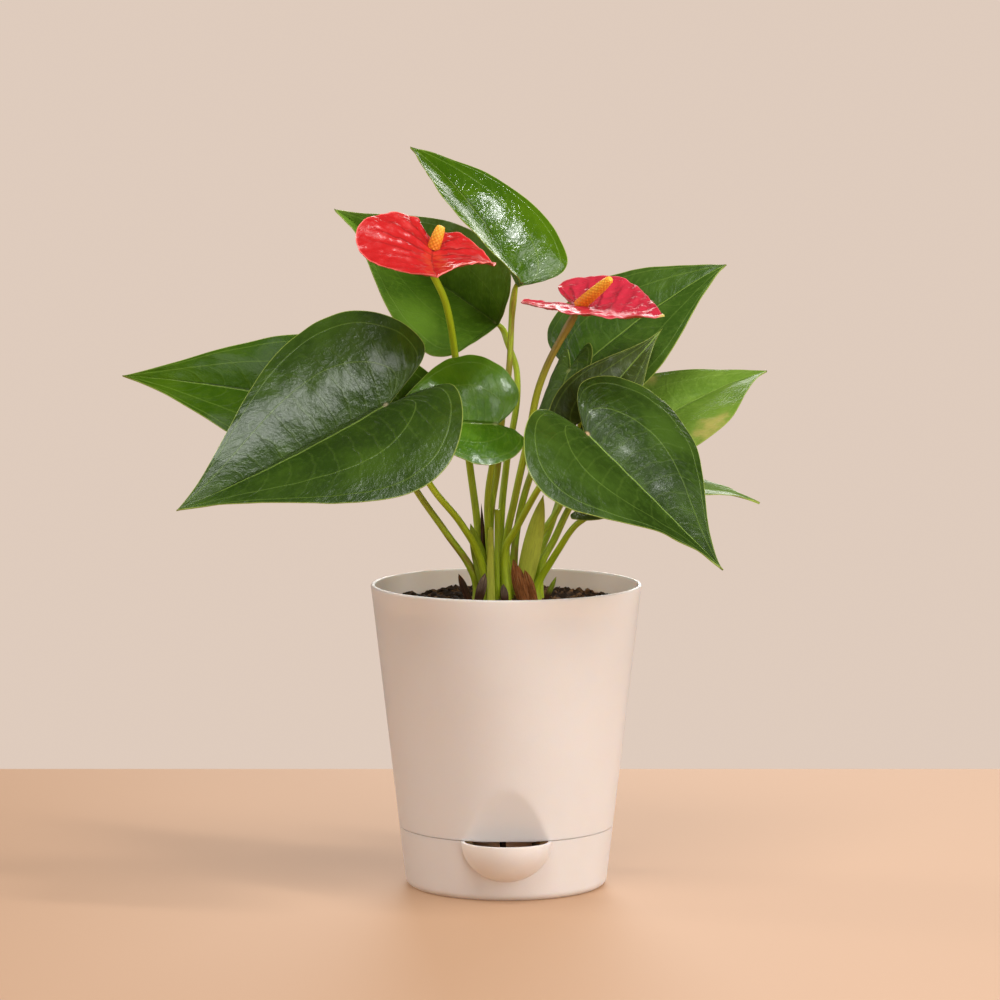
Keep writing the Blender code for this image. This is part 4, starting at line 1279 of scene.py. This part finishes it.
class ANTHURIUM_OT_studio(bpy.types.Operator):
    """The floor, the backdrop, the lamps and the camera"""

    bl_idname = "anthurium.studio"
    bl_label = "Studio"

    def execute(self, context):
        look = looks("studio")
        scene = context.scene
        scene.view_settings.view_transform = "Standard"
        floor = Finish(
            "Floor",
            Roughness=0.62,
            Specular_IOR_Level=0.25,
            Emission_Color=look.floor,
            Emission_Strength=look.floor_glow,
        )
        # Painted light: the floor is painted darker on the left and paler on the right, where the key lamp
        # falls.
        painted_floor_shade, painted_floor_light = (tuple(share * c for c in look.floor) for share in (0.62, 0.70))
        floor.drive("Base Color", floor.mix(painted_floor_shade, painted_floor_light, floor.place().parts()[0].rise(-0.35, 0.45)))
        mesh = bpy.data.meshes.new("floor")
        low, high = (-FLOOR_SIDE, -FLOOR_SIDE), (FLOOR_SIDE, FLOOR_BACK)
        corners = [(*low, 0), (high[0], low[1], 0), (*high, 0), (low[0], high[1], 0)]
        mesh.from_pydata(corners, [], [(0, 1, 2, 3)])
        obj = bpy.data.objects.new("floor", mesh)
        mesh.materials.append(floor.material)
        scene.collection.objects.link(obj)
        world = bpy.data.worlds.new("Studio")
        world.use_nodes = True
        scene.world = world
        sky = Nodes(world.node_tree)
        shade = world.node_tree.nodes["Background"]
        glossy = sky.node("LightPath", {}, output="Is Glossy Ray")
        seen = sky.node("LightPath", {}, output="Is Camera Ray")
        indirect = glossy * (look.shine - look.glow) + look.glow
        sky.feed(shade.inputs["Color"], look.backdrop)
        sky.feed(shade.inputs["Strength"], seen * (1 - indirect) + indirect)
        middle = Vector((0, 0, 0.18))
        self.lamp("key", middle, 2.6, 66, 28, (1.5, 1.5), 40, (1.0, 0.995, 0.98))
        self.lamp("front_top", middle, 1.6, -6, 60, (0.8, 0.5), 12, (1.0, 1.0, 1.0))
        self.lamp("front_fill", middle, 2.2, 20, 11, (1.0, 0.4), 10, (1.0, 0.99, 0.97))
        self.lamp("left_fill", middle, 1.8, -106, 22, (0.4, 1.0), 9, (1.0, 0.99, 0.97))
        self.lamp("back", middle, 2.0, 172, 18, (1.2, 0.6), 16, (1.0, 0.98, 0.94))
        self.lamp("window", middle, 1.6, 60, 66, (0.12, 0.36), 9, (1.0, 1.0, 1.0))
        camera = bpy.data.objects.new("camera", bpy.data.cameras.new("camera"))
        camera.data.lens = look.lens
        camera.data.sensor_width = 36
        camera.location = (CAMERA_SIDE, -look.distance, look.height)
        camera.rotation_euler = (math.pi / 2 - look.pitch, 0, 0)
        scene.collection.objects.link(camera)
        scene.camera = camera
        return {"FINISHED"}

    def lamp(self, name, aim, away, turn, climb, size, power, tone):
        """A soft panel of light. Turn is degrees right of the front and climb is degrees above the aim."""
        data = bpy.data.lights.new(name, "AREA")
        data.shape = "RECTANGLE"
        data.size, data.size_y = size
        data.energy = power
        data.color = tone
        obj = bpy.data.objects.new(name, data)
        turn, climb = math.radians(turn), math.radians(climb)
        way = Vector((math.sin(turn) * math.cos(climb), -math.cos(turn) * math.cos(climb), math.sin(climb)))
        obj.location = aim + way * away
        obj.rotation_euler = (-way).to_track_quat("-Z", "Y").to_euler()
        obj.visible_camera = False
        bpy.context.scene.collection.objects.link(obj)


PROPERTIES = {
    "planter": PlanterLooks,
    "leaf": LeafLooks,
    "flower": FlowerLooks,
    "soil": SoilLooks,
    "studio": StudioLooks,
}
OPERATORS = (
    ANTHURIUM_OT_planter,
    ANTHURIUM_OT_potting_mix,
    ANTHURIUM_OT_leaves,
    ANTHURIUM_OT_flowers,
    ANTHURIUM_OT_young_growth,
    ANTHURIUM_OT_scales,
    ANTHURIUM_OT_studio,
)


class ANTHURIUM_PT_panel(bpy.types.Panel):
    """The pieces of the potted anthurium"""

    bl_label = "Potted Anthurium"
    bl_idname = "ANTHURIUM_PT_panel"
    bl_space_type = "VIEW_3D"
    bl_region_type = "UI"
    bl_category = "Anthurium"

    def draw(self, context):
        for operator in OPERATORS:
            self.layout.operator(operator.bl_idname)
        for name, group in PROPERTIES.items():
            box = self.layout.box()
            box.label(text=group.__doc__)
            for key in group.__annotations__:
                box.prop(looks(name), key)


def register():
    for name, group in PROPERTIES.items():
        bpy.utils.register_class(group)
        setattr(bpy.types.Scene, f"anthurium_{name}", PointerProperty(type=group))
    for operator in OPERATORS:
        bpy.utils.register_class(operator)
    bpy.utils.register_class(ANTHURIUM_PT_panel)


def unregister():
    bpy.utils.unregister_class(ANTHURIUM_PT_panel)
    for operator in reversed(OPERATORS):
        bpy.utils.unregister_class(operator)
    for name, group in PROPERTIES.items():
        delattr(bpy.types.Scene, f"anthurium_{name}")
        bpy.utils.unregister_class(group)


def main():
    register()
    bpy.ops.anthurium.planter()
    bpy.ops.anthurium.potting_mix()
    bpy.ops.anthurium.leaves()
    bpy.ops.anthurium.flowers()
    bpy.ops.anthurium.young_growth()
    bpy.ops.anthurium.scales()
    bpy.ops.anthurium.studio()


if __name__ == "__main__":
    main()
